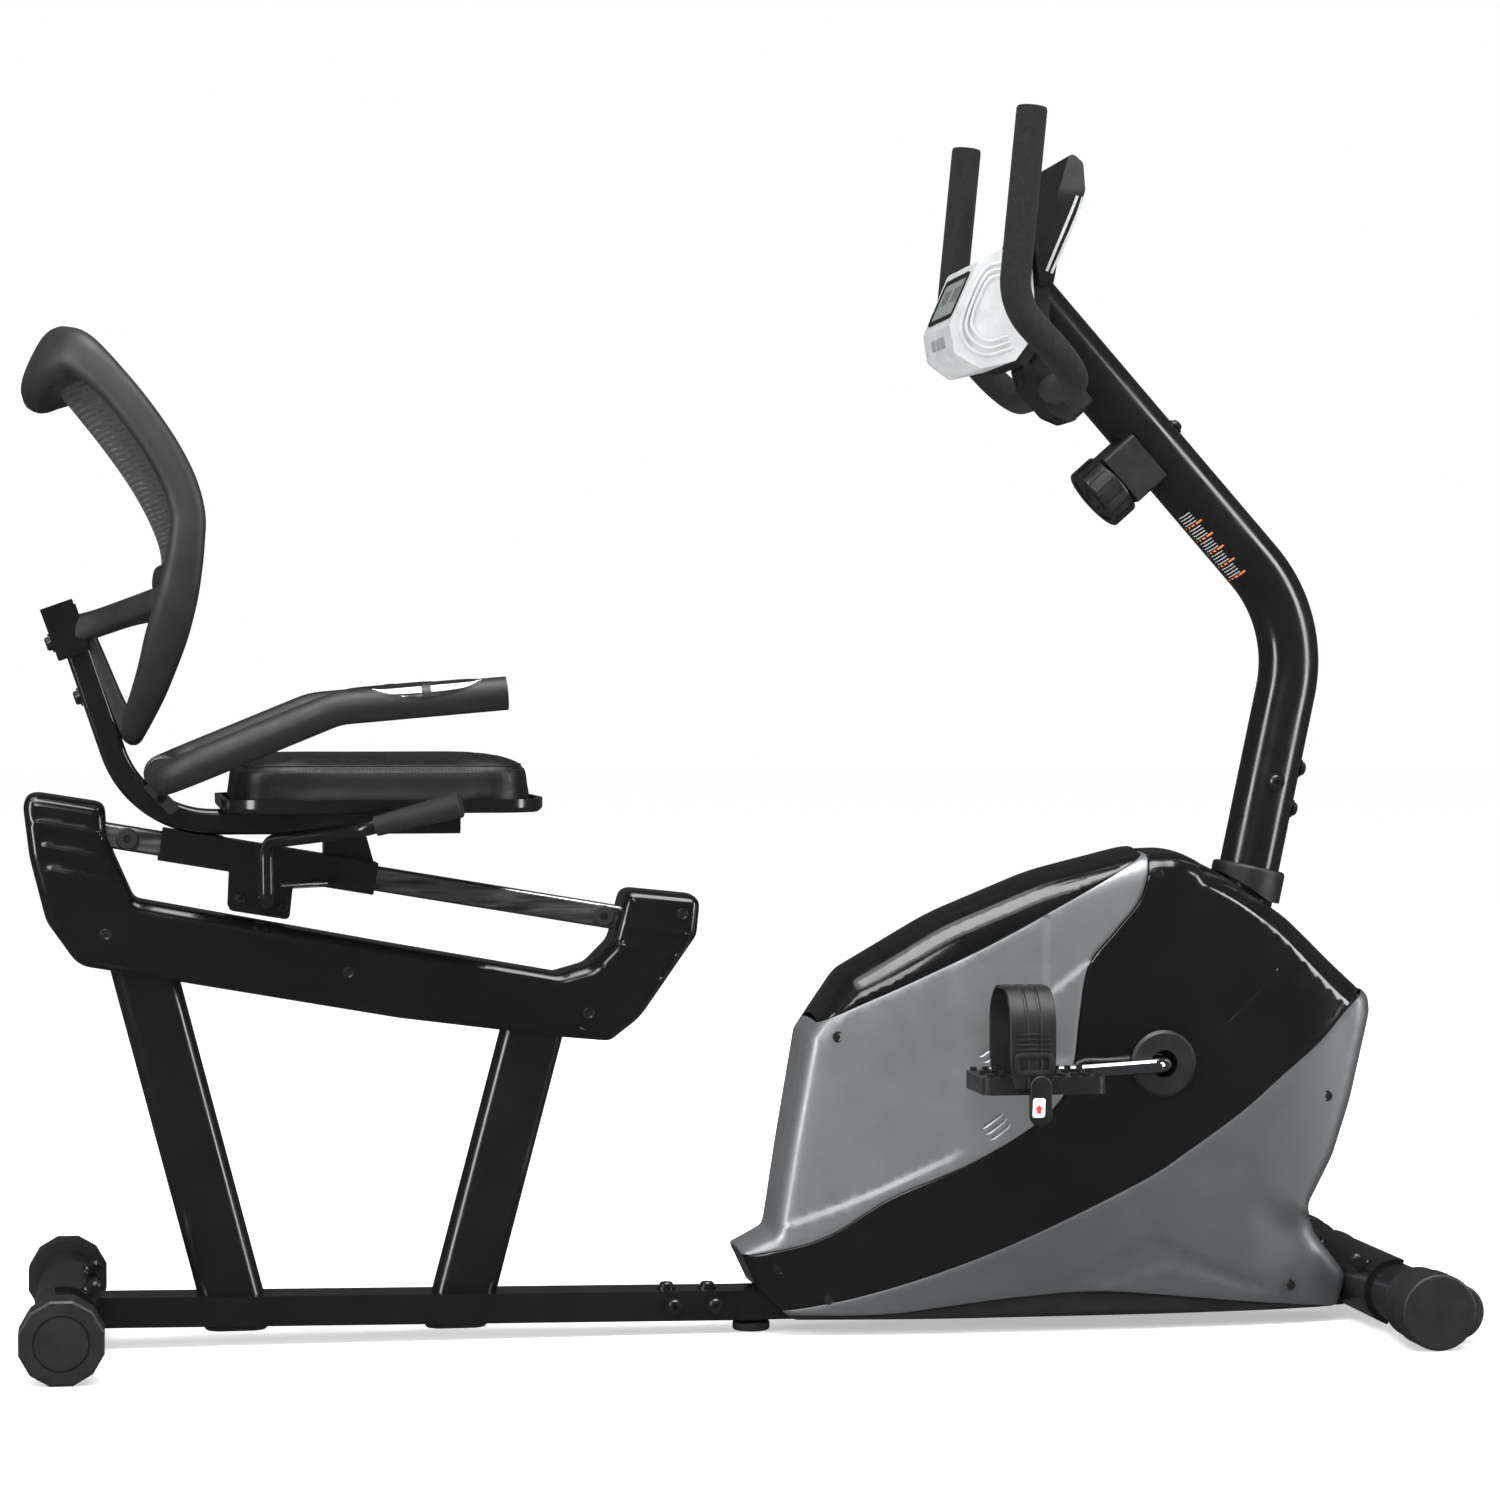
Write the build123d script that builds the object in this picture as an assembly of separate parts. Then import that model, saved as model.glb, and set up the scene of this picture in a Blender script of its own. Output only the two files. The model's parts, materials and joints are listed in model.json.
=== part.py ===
from build123d import *
import math
import os

os.makedirs("parts", exist_ok=True)

# Recumbent exercise bike, millimetres. +X forwards (the way the rider faces), +Y to the rider's
# left, +Z up. The origin is on the floor, under the middle of the bike.

# ---- driving dimensions -------------------------------------------------------------------------
BEAM_W, BEAM_H, BEAM_WALL = 50.0, 30.0, 2.5
BEAM_REAR_X, JOINT_X, BEAM_FRONT_X = -645.0, -10.0, 622.0
BEAM_REAR_Z, BEAM_MID_Z = 36.5, 28.0
STAB_R, STAB_WALL = 30.0, 2.0
REAR_STAB_X, REAR_STAB_Z, REAR_HALF = -682.0, 40.0, 225.0
FRONT_STAB_X, FRONT_STAB_Z, FRONT_HALF = 658.0, 38.0, 245.0
CAP_APOTHEM, CAP_LEN = 40.0, 42.0
WHEEL_R, WHEEL_X, WHEEL_Z = 28.0, 691.0, 31.0
POST_SECTION, POST_W, POST_LEAN = 64.0, 35.0, 0.263
RAIL_ANGLE = math.radians(9.63)
RAIL_H, RAIL_W = 24.0, 40.0
RAIL_X0, RAIL_Z0, RAIL_X1 = -655.0, 511.35, -112.0
COVER_HALF, COVER_WALL = 40.0, 2.5
CARRIAGE_X0, CARRIAGE_X1 = -587.5, -375.0
SEAT_TUBE_W, SEAT_TUBE_D, SEAT_TUBE_Z = 45.0, 25.0, 521.3
BAR_R, BAR_HALF = 16.0, 245.0
PAN_Z, PAN_T, CUSHION_TOP = 534.0, 13.0, 588.0
MAST_R, MAST_WALL, MAST_BEND = 31.0, 2.5, 150.0
MAST_FOOT, MAST_CORNER, MAST_TOP = (545.0, 517.0), (589.5, 726.0), (297.0, 1055.5)
GRIP_R, GRIP_TUBE_R, GRIP_HALF = 15.5, 12.5, 150.0
CRANK_X, CRANK_Z, CRANK_LEN, CRANK_ROD_R = 420.0, 273.0, 154.0, 7.5
FLY_X, FLY_Z, FLY_R, FLY_T = 190.0, 215.0, 115.0, 22.0
BELT_Y, BELT_W, PULLEY_R, FLY_PULLEY_R = -45.0, 14.0, 110.0, 22.0
POD_HALF, POD_WALL = 82.0, 3.0
BOLT_R = 4.0
FOOT_X, FOOT_R, FOOT_STUD_R = 8.5, 19.0, 6.0
LEVER_X, LEVER_Z, LEVER_R = -484.0, 441.0, 7.0
LEVER_BEND, LEVER_TIP = (-398, -194.4, 519.0), (-316, -213.6, 541.0)
BACK_AXIS_X = 90.0

# Base: directions of the bolt rows, bolt places along the beam, saddle wall, rail posts
REAR_BOLT_DIR = (1, 0, 1)
FRONT_BOLT_DIR = (-1, 0, 1)
TOP_BOLTS = [-79.0, -37.0]
SIDE_BOLTS = [-74.0, -32.0]
SADDLE_T = 4.0
REAR_POST_X, FRONT_POST_X, POST_FOOT_Z = -519.5, -283.5, 53.0

# Rail cover: side outline, corner radii, screw places
COVER = [(-723, 553), (-642, 540), (-640, 508), (-632, 488), (-613, 445), (-369, 399), (-193, 367),
         (-161, 376), (-137, 400), (-124, 452), (-48, 444), (-52, 405), (-110, 322), (-140, 299),
         (-192, 304), (-352, 325), (-565, 363), (-668, 381), (-699, 425), (-715, 488)]
COVER_R = [14, 9, 10, 30, 8, 600, 12, 14, 20, 9, 8, 12, 60, 14, 40, 400, 200, 26, 30, 120]
COVER_SCREWS = [(-641.0, 411.6), (-402.7, 371.8), (-162.8, 328.0), (-67.7, 427.1)]

# Seat: bend of the seat tube, seat handlebar's rear pivot
SEAT_ARC_R = 103.0
BAR_X, BAR_Z = -585.2, 569.0

# Backrest: front line on its middle
BACK_FRONT = [(-702, 1003), (-687, 986), (-665, 956), (-641, 920), (-616, 882), (-596, 850), (-582, 816),
              (-576, 784), (-577, 745), (-581, 710), (-586, 676), (-592, 646), (-600, 606)]

# Drive covers: side outline, corner radii, half width along X, seams between panels, screws
POD = [(-11, 84), (25, 101), (38, 190), (58, 305), (97, 367), (194, 423), (300, 466), (400, 491),
       (445, 492), (500, 465), (566, 421), (656, 338), (656, 322), (632, 228), (612, 172), (583, 120),
       (594, 92), (632, 46), (618, 14), (44, 13), (8, 46)]
POD_R = [2, 8, 400, 8, 16, 300, 300, 60, 40, 300, 100, 9, 14, 300, 100, 12, 10, 8, 6, 12, 12]
POD_PLAN = [(-14, 46), (40, 60), (180, 78), (420, POD_HALF), (560, 74), (664, 46)]
SILVER_EDGE = [(409, 500), (405, 448), (343.5, 371), (330, 281), (325, 247), (304, 222), (219, 178),
               (140, 137), (83, 110), (38, 91), (-30, 80)]
COVER_EDGE = [(40, 303), (58, 312), (103, 332), (169, 361), (248, 398), (327, 440), (404, 484), (418, 500)]
GREY_EDGE = [(640, 345), (620, 321), (592, 292), (548, 257), (505, 222), (449, 184), (397, 152.5),
             (277, 97), (189, 64), (116, 42), (60, 30), (30, 27)]
POD_SCREWS = [(416, 465), (599.5, 235), (87, 303), (28, 68), (79, 38), (560, 41)]
SEAM = 0.5

# Crank arm's side and direction, magnet pivot
CRANK_Y = 108.0
CRANK_DIR = (-0.9987, -0.0509)
MAGNET_X, MAGNET_Z = 62.0, 226.0

# Upper mast direction, handlebar offsets, console outline, keys, clamp place
UPPER = (-0.664, 0.748)
BAR_OUT, BAR_UP = 48.0, 86.0
CONSOLE = [(283, 1106), (256, 1099), (229, 1086), (201, 1022), (206, 993), (231, 977),
           (268, 986), (290, 1016)]
CONSOLE_HALF = 72.0
KEYS = [-22.0, 0.0, 22.0]
MAST_UP = 171.5


# ---- helpers ------------------------------------------------------------------------------------
def save(name, *shapes):
    """Write one node; several shapes become separate solids of that node."""
    solids = [solid for shape in shapes for solid in shape.solids()]
    body = solids[0] if len(solids) == 1 else Compound(solids)
    export_step(body, f"parts/{name}.step")


def side_face(points, radii=0):
    """Closed outline of (x, z) points in the plane Y = 0."""
    outline = FilletPolyline(*[(x, 0, z) for x, z in points], radius=radii, close=True)
    return make_face(outline.edges())


def slab(points, y0, y1, radii=0):
    """Side outline carried from Y = y0 to Y = y1."""
    return Pos(0, y0, 0) * extrude(side_face(points, radii), amount=y1 - y0, dir=(0, 1, 0))


def plan_slab(points, z0, z1, radii=0):
    """Plan outline of (x, y) points carried from Z = z0 to Z = z1."""
    outline = FilletPolyline(*[(x, y, 0) for x, y in points], radius=radii, close=True)
    return Pos(0, 0, z0) * extrude(make_face(outline.edges()), amount=z1 - z0, dir=(0, 0, 1))


def rod(start, end, radius, bore=0.0):
    """Round bar, or tube when it has a bore, between two points."""
    start, end = Vector(*start), Vector(*end)
    plane = Plane(origin=start, z_dir=end - start)
    length = (end - start).length
    bar = plane * Cylinder(radius, length, align=(Align.CENTER, Align.CENTER, Align.MIN))
    if bore:
        bar -= plane * Cylinder(bore, length, align=(Align.CENTER, Align.CENTER, Align.MIN))
    return bar


def along(start, end):
    """Side-view frame: local x from start to end, local y square to it, local z towards -Y."""
    (x0, z0), (x1, z1) = start, end
    return Plane(origin=(x0, 0, z0), x_dir=(x1 - x0, 0, z1 - z0), z_dir=(0, -1, 0))


def beam(start, end, depth, width):
    """Flat-sided bar seen from the side as a line between two (x, z) points."""
    length = math.dist(start, end)
    return along(start, end) * Box(length, depth, width, align=(Align.MIN, Align.CENTER, Align.CENTER))


def swept(points, radii, section):
    """Section swept along straight runs joined by arcs."""
    path = FilletPolyline(*points, radius=radii)
    return sweep(Plane(origin=path @ 0, z_dir=path % 0) * section, path=path)


def round_tube(points, radii, radius, wall=0.0):
    section = Circle(radius)
    if wall:
        section -= Circle(radius - wall)
    return swept(points, radii, section)


def both_sides(shape):
    return [shape, mirror(shape, about=Plane.XZ)]


def ring_arc(x, z, inner, outer, start_deg, end_deg, y0, y1):
    """Part of a ring round an axis along Y, between two angles counted from +X towards +Z."""
    ring = rod((x, y0, z), (x, y1, z), outer) - rod((x, y0, z), (x, y1, z), inner)
    reach = 3 * outer
    steps = 8
    angles = [math.radians(start_deg + (end_deg - start_deg) * i / steps) for i in range(steps + 1)]
    fan = [(x, z)] + [(x + reach * math.cos(a), z + reach * math.sin(a)) for a in angles]
    return ring & slab(fan, y0 - 1, y1 + 1)


def bolt(seat, outward, length, head_r=7.0, head_h=4.5, washer=True):
    """Button-head screw: its head stands outward of the seat point, its shank goes the other way."""
    seat, axis = Vector(*seat), Vector(*outward).normalized()
    body = rod(seat, seat - axis * length, BOLT_R)
    base = seat
    if washer:
        body += rod(seat, seat + axis * 1.6, head_r + 2.5)
        base = seat + axis * 1.6
    head = rod(base, base + axis * head_h, head_r)
    head = chamfer(head.edges().filter_by(GeomType.CIRCLE).sort_by(Axis(seat, axis))[-1], 1.6)
    head -= rod(base + axis * (head_h - 2.4), base + axis * (head_h + 1), 2.6)
    return body + head


def cap_nut(seat, outward, length):
    """Through bolt with a domed nut outward of the seat point and a flat head on its far end."""
    seat, axis = Vector(*seat), Vector(*outward).normalized()
    nut_base = seat + axis * 2.0
    nut_top = seat + axis * 9.0
    body = rod(seat - axis * length, nut_base, BOLT_R) + rod(seat, nut_base, 10.0)
    body += Plane(origin=nut_base, z_dir=axis) * extrude(RegularPolygon(7.5, 6), amount=7.0)
    dome = Pos(*nut_top) * Sphere(6.0)
    return body + dome + rod(seat - axis * (length + 4.0), seat - axis * length, 9.0)


def shank_hole(seat, outward, length):
    seat, axis = Vector(*seat), Vector(*outward).normalized()
    return rod(seat - axis * length, seat + axis * 3.0, BOLT_R + 0.3)


# ---- base beams and stabilizers -----------------------------------------------------------------


def stab_bolt_seats():
    reach = (STAB_R + SADDLE_T + 0.3) / math.sqrt(2)
    rear = [((REAR_STAB_X + reach, y, REAR_STAB_Z + reach), REAR_BOLT_DIR) for y in (-70, 70)]
    front = [((FRONT_STAB_X - reach, y, FRONT_STAB_Z + reach), FRONT_BOLT_DIR) for y in (-75, 75)]
    return rear, front


def bolt_through(seats):
    holes = [shank_hole(seat, axis, 2 * STAB_R + 12) for seat, axis in seats]
    return holes[0] + holes[1]


def beam_centre_z(x):
    share = (x - BEAM_REAR_X) / (JOINT_X - BEAM_REAR_X)
    return BEAM_REAR_Z + (BEAM_MID_Z - BEAM_REAR_Z) * share


def base_beam():
    start = (REAR_STAB_X + STAB_R + 1, beam_centre_z(REAR_STAB_X + STAB_R + 1))
    end = (JOINT_X, BEAM_MID_Z)
    tube = beam(start, end, BEAM_H, BEAM_W) - beam(start, end, BEAM_H - 5, BEAM_W - 5)
    saddle = ring_arc(REAR_STAB_X, REAR_STAB_Z, STAB_R + 0.1, STAB_R + SADDLE_T, -75, 105, -90, 90)
    part = tube - rod((REAR_STAB_X, -60, REAR_STAB_Z), (REAR_STAB_X, 60, REAR_STAB_Z), STAB_R + 1)
    part = part + saddle - bolt_through(stab_bolt_seats()[0])
    for x in TOP_BOLTS:
        part -= rod((x, 0, BEAM_MID_Z), (x, 0, 60), BOLT_R + 0.3)
    for x in SIDE_BOLTS:
        part -= rod((x, -40, BEAM_MID_Z + 1), (x, 40, BEAM_MID_Z + 1), BOLT_R + 0.3)
    return part


def front_beam():
    slope_end = (-130.0, beam_centre_z(-130.0))
    sleeve = beam(slope_end, (JOINT_X + 2, BEAM_MID_Z), BEAM_H - 5.6, BEAM_W - 5.6)
    sleeve -= beam(slope_end, (JOINT_X, BEAM_MID_Z), BEAM_H - 11, BEAM_W - 11)
    start, end = (JOINT_X + 0.4, BEAM_MID_Z), (BEAM_FRONT_X + 8, BEAM_MID_Z)
    tube = beam(start, end, BEAM_H, BEAM_W)
    tube -= beam((JOINT_X + 30, BEAM_MID_Z), end, BEAM_H - 5, BEAM_W - 5)
    saddle = ring_arc(FRONT_STAB_X, FRONT_STAB_Z, STAB_R + 0.1, STAB_R + SADDLE_T, 75, 255, -110, 110)
    tongue = beam((560, 24), (625, 52), 6, 60)
    front = (FRONT_STAB_X, FRONT_STAB_Z)
    part = tube + tongue - rod((front[0], -90, front[1]), (front[0], 90, front[1]), STAB_R + 1)
    part = part + sleeve + saddle - bolt_through(stab_bolt_seats()[1])
    for x in TOP_BOLTS:
        part -= rod((x, 0, BEAM_MID_Z), (x, 0, 60), BOLT_R + 0.3)
    for x in SIDE_BOLTS:
        part -= rod((x, -40, BEAM_MID_Z + 1), (x, 40, BEAM_MID_Z + 1), BOLT_R + 0.3)
    return part - rod((FOOT_X, 0, -5), (FOOT_X, 0, 60), FOOT_STUD_R + 0.1)


def levelling_foot():
    disc = rod((FOOT_X, 0, 0), (FOOT_X, 0, 9), FOOT_R)
    disc = chamfer(disc.edges().filter_by(GeomType.CIRCLE), 1.5)
    return disc + rod((FOOT_X, 0, 9), (FOOT_X, 0, 40), FOOT_STUD_R)


def stabilizer(x, z, half, seats):
    tube = rod((x, -half, z), (x, half, z), STAB_R, STAB_R - STAB_WALL)
    return tube - bolt_through(seats)


def rear_end_cap():
    """Twelve-sided cap for the rear stabilizer's right end."""
    inner_y, outer_y = -(REAR_HALF - CAP_LEN), -REAR_HALF
    corner = CAP_APOTHEM / math.cos(math.pi / 12)
    plane = Plane(origin=(REAR_STAB_X, inner_y, REAR_STAB_Z), x_dir=(1, 0, 0), z_dir=(0, -1, 0))
    cap = plane * extrude(RegularPolygon(corner, 12, rotation=15), amount=CAP_LEN)
    cap = chamfer(cap.faces().sort_by(Axis.Y)[0].edges(), 2.0)
    at = (REAR_STAB_X, REAR_STAB_Z)
    groove = rod((at[0], outer_y, at[1]), (at[0], outer_y + 1.5, at[1]), 27.0, 25.0)
    bore = rod((at[0], inner_y, at[1]), (at[0], outer_y + 6, at[1]), STAB_R + 0.05)
    return cap - groove - bore


def front_end_cap():
    """Round cap for the front stabilizer's right end, with a housing for the transport wheel."""
    x, z = FRONT_STAB_X, FRONT_STAB_Z
    face = rod((x, -FRONT_HALF + 36, z), (x, -FRONT_HALF, z), 38.0)
    face = fillet(face.faces().sort_by(Axis.Y)[0].edges(), 3.0)
    collar = rod((x, -FRONT_HALF + 68, z), (x, -FRONT_HALF + 36, z), 36.0)
    lug = slab([(x, z - 14), (WHEEL_X + 6, z - 14), (WHEEL_X + 6, z), (x, z + 10)],
               -FRONT_HALF + 15, -FRONT_HALF + 68, 4.0)
    wheel_room = rod((WHEEL_X, -FRONT_HALF + 40, WHEEL_Z), (WHEEL_X, -FRONT_HALF + 63, WHEEL_Z),
                     WHEEL_R + 2)
    cap = face + collar + lug - wheel_room
    cap -= rod((x, -FRONT_HALF + 66, z), (x, -FRONT_HALF + 70, z), STAB_R + 0.05)
    return cap - rod((WHEEL_X, -FRONT_HALF + 30, WHEEL_Z), (WHEEL_X, -150, WHEEL_Z), 4.0)


def transport_wheel():
    y0, y1 = -FRONT_HALF + 42, -FRONT_HALF + 61
    wheel = rod((WHEEL_X, y0, WHEEL_Z), (WHEEL_X, y1, WHEEL_Z), WHEEL_R)
    wheel = fillet(wheel.edges().filter_by(GeomType.CIRCLE), 3.0)
    return wheel - rod((WHEEL_X, y0 - 1, WHEEL_Z), (WHEEL_X, y1 + 1, WHEEL_Z), 4.0 + 0.05)


def wheel_axle():
    return rod((WHEEL_X, -FRONT_HALF + 30, WHEEL_Z), (WHEEL_X, -FRONT_HALF + 67, WHEEL_Z), 4.0)


def stabilizer_bolts():
    rear, front = stab_bolt_seats()
    return [cap_nut(seat, axis, 2 * STAB_R + SADDLE_T + 1.0) for seat, axis in rear + front]


def beam_joint_bolts():
    bolts = [bolt((x, 0, beam_centre_z(x) + BEAM_H / 2 + 0.2), (0, 0, 1), 9.0) for x in TOP_BOLTS]
    for x in SIDE_BOLTS:
        for side in (-1, 1):
            bolts.append(bolt((x, side * BEAM_W / 2, BEAM_MID_Z + 1), (0, side, 0), 12.0))
    return bolts


def beam_pads():
    pads = []
    for x in (-513.5, -293.5):
        top = beam_centre_z(x) - BEAM_H / 2
        pad = Pos(x, 0, top - 6.0) * extrude(SlotOverall(62, 34), amount=5.2)
        pads.append(chamfer(pad.faces().sort_by(Axis.Z)[0].edges(), 1.5))
    return pads


# ---- posts, rail and rail cover -----------------------------------------------------------------


def carrier_z(x):
    """Centre height of the beam inside the rail cover."""
    return 399.0 - 0.1714 * (x + 565.0)


def rail_z(x):
    return RAIL_Z0 - math.tan(RAIL_ANGLE) * (x - RAIL_X0)


def rail_point(x, offset=0.0):
    """Point at x on the rail's centre line, moved square to it by the offset."""
    return (x + offset * math.sin(RAIL_ANGLE), rail_z(x) + offset * math.cos(RAIL_ANGLE))


def post(foot_x, lean):
    """Oblong tube that leans to the rear or the front, cut to the beam and to the carrier."""
    top_z = 420.0
    start = (foot_x - lean * 40, POST_FOOT_Z - 40)
    end = (foot_x + lean * (top_z - POST_FOOT_Z), top_z)
    length = math.dist(start, end)
    upwards = (end[0] - start[0], 0, end[1] - start[1])
    plane = Plane(origin=(start[0], 0, start[1]), x_dir=(0, 1, 0), z_dir=upwards)
    outer = SlotOverall(POST_SECTION, POST_W, rotation=90)
    inner = SlotOverall(POST_SECTION - 4, POST_W - 4, rotation=90)
    tube = plane * extrude(outer - inner, amount=length)
    foot_z = beam_centre_z(foot_x) + BEAM_H / 2
    below = Pos(foot_x, 0, foot_z - 100) * Rot(0, math.degrees(math.atan(0.0134)), 0) * Box(400, 90, 200)
    drop = 20.5
    low_rear, low_front = (-760, carrier_z(-760) - drop), (20, carrier_z(20) - drop)
    above = slab([low_rear, low_front, (20, 700), (-760, 700)], -50, 50)
    return tube - below - above


def rail_carrier():
    base = beam((-662, carrier_z(-662)), (-138, carrier_z(-138)), 40, 44)
    rear = beam((-661, 414), (-676, rail_z(-676) + 14), 32, 44)
    front = beam((-150, 326), (-90, rail_z(-90) + 12), 34, 44)
    bar = beam(rail_point(-720), rail_point(-60), RAIL_H, RAIL_W)
    return base + rear + front - bar


def seat_rail():
    start, end = rail_point(-690), rail_point(-82)
    bar = beam(start, end, RAIL_H, RAIL_W)
    bar = fillet(bar.edges().filter_by(Axis(rail_origin(), rail_direction())), 3.0)
    slots = [beam(rail_point(x), rail_point(x + 9), 8, 60) for x in range(-560, -180, 24)]
    for slot in slots:
        bar -= slot & Pos(0, 45, 0) * Box(2000, 60, 2000)
    return bar


def rail_origin():
    x, z = rail_point(-690)
    return (x, 0, z)


def rail_direction():
    return (math.cos(RAIL_ANGLE), 0, -math.sin(RAIL_ANGLE))


def rail_bumpers():
    """Round rubber stops with their socket screws, on both sides of the rail's ends."""
    stops = []
    for x in (-620.0, -146.0):
        z = rail_z(x)
        stop = rod((x, -RAIL_W / 2, z), (x, -RAIL_W / 2 - 9, z), 11.0)
        stop = fillet(stop.faces().sort_by(Axis.Y)[0].edges(), 2.0)
        stop -= rod((x, -RAIL_W / 2 - 10, z), (x, -RAIL_W / 2 - 6, z), 4.0)
        stops += both_sides(stop)
    return stops


def cover_solid(shrink):
    """Solid boat shape with rounded long edges, shrunk by a wall thickness for the hollow."""
    face = side_face(COVER, COVER_R)
    if shrink:
        face = offset(face, amount=-shrink)
    half = COVER_HALF - shrink
    solid = Pos(0, -half, 0) * extrude(face, amount=2 * half, dir=(0, 1, 0))
    if shrink:
        return solid
    rims = solid.faces().filter_by(Axis.Y).edges()
    return fillet(rims, 5.0)


def tower_grooves():
    """Three shallow grooves across each raised end of one cover half."""
    cuts = []
    for start, end in (((-716, 523), (-645, 511)), ((-709, 499), (-643, 487)), ((-704, 476), (-636, 463)),
                       ((-120, 417), (-56, 406)), ((-129, 396), (-68, 384)), ((-148, 374), (-82, 361))):
        cuts.append(beam(start, end, 3.0, 2.4))
    return [Pos(0, -COVER_HALF, 0) * cut for cut in cuts]


def rail_covers():
    shell = cover_solid(0) - cover_solid(COVER_WALL)
    shell -= beam(rail_point(-655), rail_point(-100), RAIL_H + 5, RAIL_W + 5)
    for foot_x, lean in ((REAR_POST_X, -POST_LEAN), (FRONT_POST_X, POST_LEAN)):
        top = (foot_x + lean * 340, POST_FOOT_Z + 340)
        shell -= beam((foot_x, POST_FOOT_Z), top, POST_SECTION + 3, POST_W + 3)
    right = shell - Pos(0, 100, 0) * Box(2000, 200, 2000)
    for cut in tower_grooves():
        right -= cut
    for x, z in COVER_SCREWS:
        right -= rod((x, -COVER_HALF - 1, z), (x, -COVER_HALF + 6, z), 4.3)
    return right, mirror(right, about=Plane.XZ)


def cover_screws():
    screws = []
    for x, z in COVER_SCREWS:
        screw = rod((x, -COVER_HALF + 1.5, z), (x, -COVER_HALF + 14, z), 2.0)
        screw += rod((x, -COVER_HALF + 1.5, z), (x, -COVER_HALF + 4, z), 4.0)
        screws += both_sides(screw)
    return screws


# ---- seat ---------------------------------------------------------------------------------------


def seat_tube(section):
    """Section swept along the seat tube: down the back, round the bend and forwards under the pan."""
    line = FilletPolyline((-682, 0, 734), (-610, 0, SEAT_TUBE_Z), (-290, 0, SEAT_TUBE_Z), radius=SEAT_ARC_R)
    plane = Plane(origin=line @ 0, x_dir=(0, 1, 0), z_dir=line % 0)
    return sweep(plane * section, path=line)


def seat_frame():
    outer = RectangleRounded(SEAT_TUBE_W, SEAT_TUBE_D, 6)
    tube = seat_tube(outer - RectangleRounded(SEAT_TUBE_W - 5, SEAT_TUBE_D - 5, 4))
    bracket = top_bracket(0) - top_bracket(3) - beam((-690, 750), (-667, 682), 27, 50)
    part = tube + bracket
    for seat, axis in back_bolt_seats():
        part -= shank_hole(seat, axis, 6)
    return part


def top_bracket(shrink):
    """Channel welded round the top of the seat tube, that the backrest is bolted to."""
    return beam((-689, 737), (-671, 687), 33 - 2 * shrink, 56 - 2 * shrink)


def back_bolt_seats():
    return [((-693.4, 0, 699.3), (-0.941, 0, -0.339)), ((-665.7, 0, 645.9), (-0.947, 0, -0.321))]


def bracket_bolt_seats():
    return [((x, side * 26, z), (0, side, 0)) for x, z in ((-509, 446), (-467, 437)) for side in (-1, 1)]


def clamp_bolt_seats():
    return [((-587.0, side * 26.6, 546.0), (0, side, 0)) for side in (-1, 1)]


def seat_carriage():
    """Sleeve round the rail, its latch bracket below and two gussets up to the seat tube."""
    start, end = rail_point(CARRIAGE_X0), rail_point(CARRIAGE_X1)
    sleeve = beam(start, end, RAIL_H + 8, RAIL_W + 12)
    room = beam(rail_point(CARRIAGE_X0 - 5), rail_point(CARRIAGE_X1 + 5), RAIL_H + 4, RAIL_W + 7)
    bracket = slab([(-519, 480), (-521, 434), (-461, 424), (-456, 470)], -26, 26, [2, 5, 5, 2])
    hollow = slab([(-525, 466), (-527, 420), (-455, 420), (-453, 455)], -22, 22)
    front_web = slab([(-426, 480), (-426, 506.6), (-384, 506.6), (-376, 478)], -20, 20, [2, 1, 1, 2])
    rear_web = slab([(-576, 500), (-562, 514), (-526, 507), (-515, 500)], -20, 20)
    tube_room = beam((-540, SEAT_TUBE_Z), (-280, SEAT_TUBE_Z), SEAT_TUBE_D, SEAT_TUBE_W + 2)
    part = sleeve + (bracket - hollow) + front_web + rear_web - room - tube_room
    arc_z = SEAT_TUBE_Z + SEAT_ARC_R
    part -= rod((-536, -40, arc_z), (-536, 40, arc_z), SEAT_ARC_R + SEAT_TUBE_D / 2 + 0.1)
    for seat, axis in bracket_bolt_seats():
        part -= shank_hole(seat, axis, 6)
    part -= rod((LEVER_X, -60, LEVER_Z), (LEVER_X, 60, LEVER_Z), LEVER_R + 0.06)
    return part + rod((-416, -26, 461), (-416, -54, 461), 3.0)


def guide_pads():
    """Plastic liners between the rail and the sleeve, top and bottom, at both ends."""
    pads = []
    for x in (CARRIAGE_X0 + 2, CARRIAGE_X1 - 42):
        for side in (-1, 1):
            offset_z = side * (RAIL_H / 2 + 1.15)
            pads.append(beam(rail_point(x, offset_z), rail_point(x + 40, offset_z), 1.7, RAIL_W - 4))
    return pads


def seat_lever():
    shaft = [(LEVER_X, -20, LEVER_Z), (LEVER_X, -62, LEVER_Z), (LEVER_X - 1, -64, 503)]
    path = shaft + [LEVER_BEND, LEVER_TIP]
    bar = round_tube(path, [12, 16, 30], LEVER_R)
    return bar + rod((-491, -40, 446), (-478, -40, 460), 2.0)


def lever_grip():
    """Flared rubber grip on the lever's end."""
    start, end = Vector(-386.1, -197.2, 522.2), Vector(-306, -216, 543.7)
    plane = Plane(origin=start, z_dir=end - start)
    length = (end - start).length
    bottom = plane * Circle(9.5)
    top = plane.offset(length) * Circle(13.0)
    grip = loft([bottom, top])
    grip = fillet(grip.edges().sort_by(Axis.X)[-1], 3.0)
    return grip - rod(LEVER_BEND, LEVER_TIP, LEVER_R + 0.1) - Pos(*LEVER_TIP) * Sphere(LEVER_R + 0.6)


def lever_spring():
    return rod((-470, -50, 459), (-424, -50, 461), 3.6, 2.2)


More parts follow.
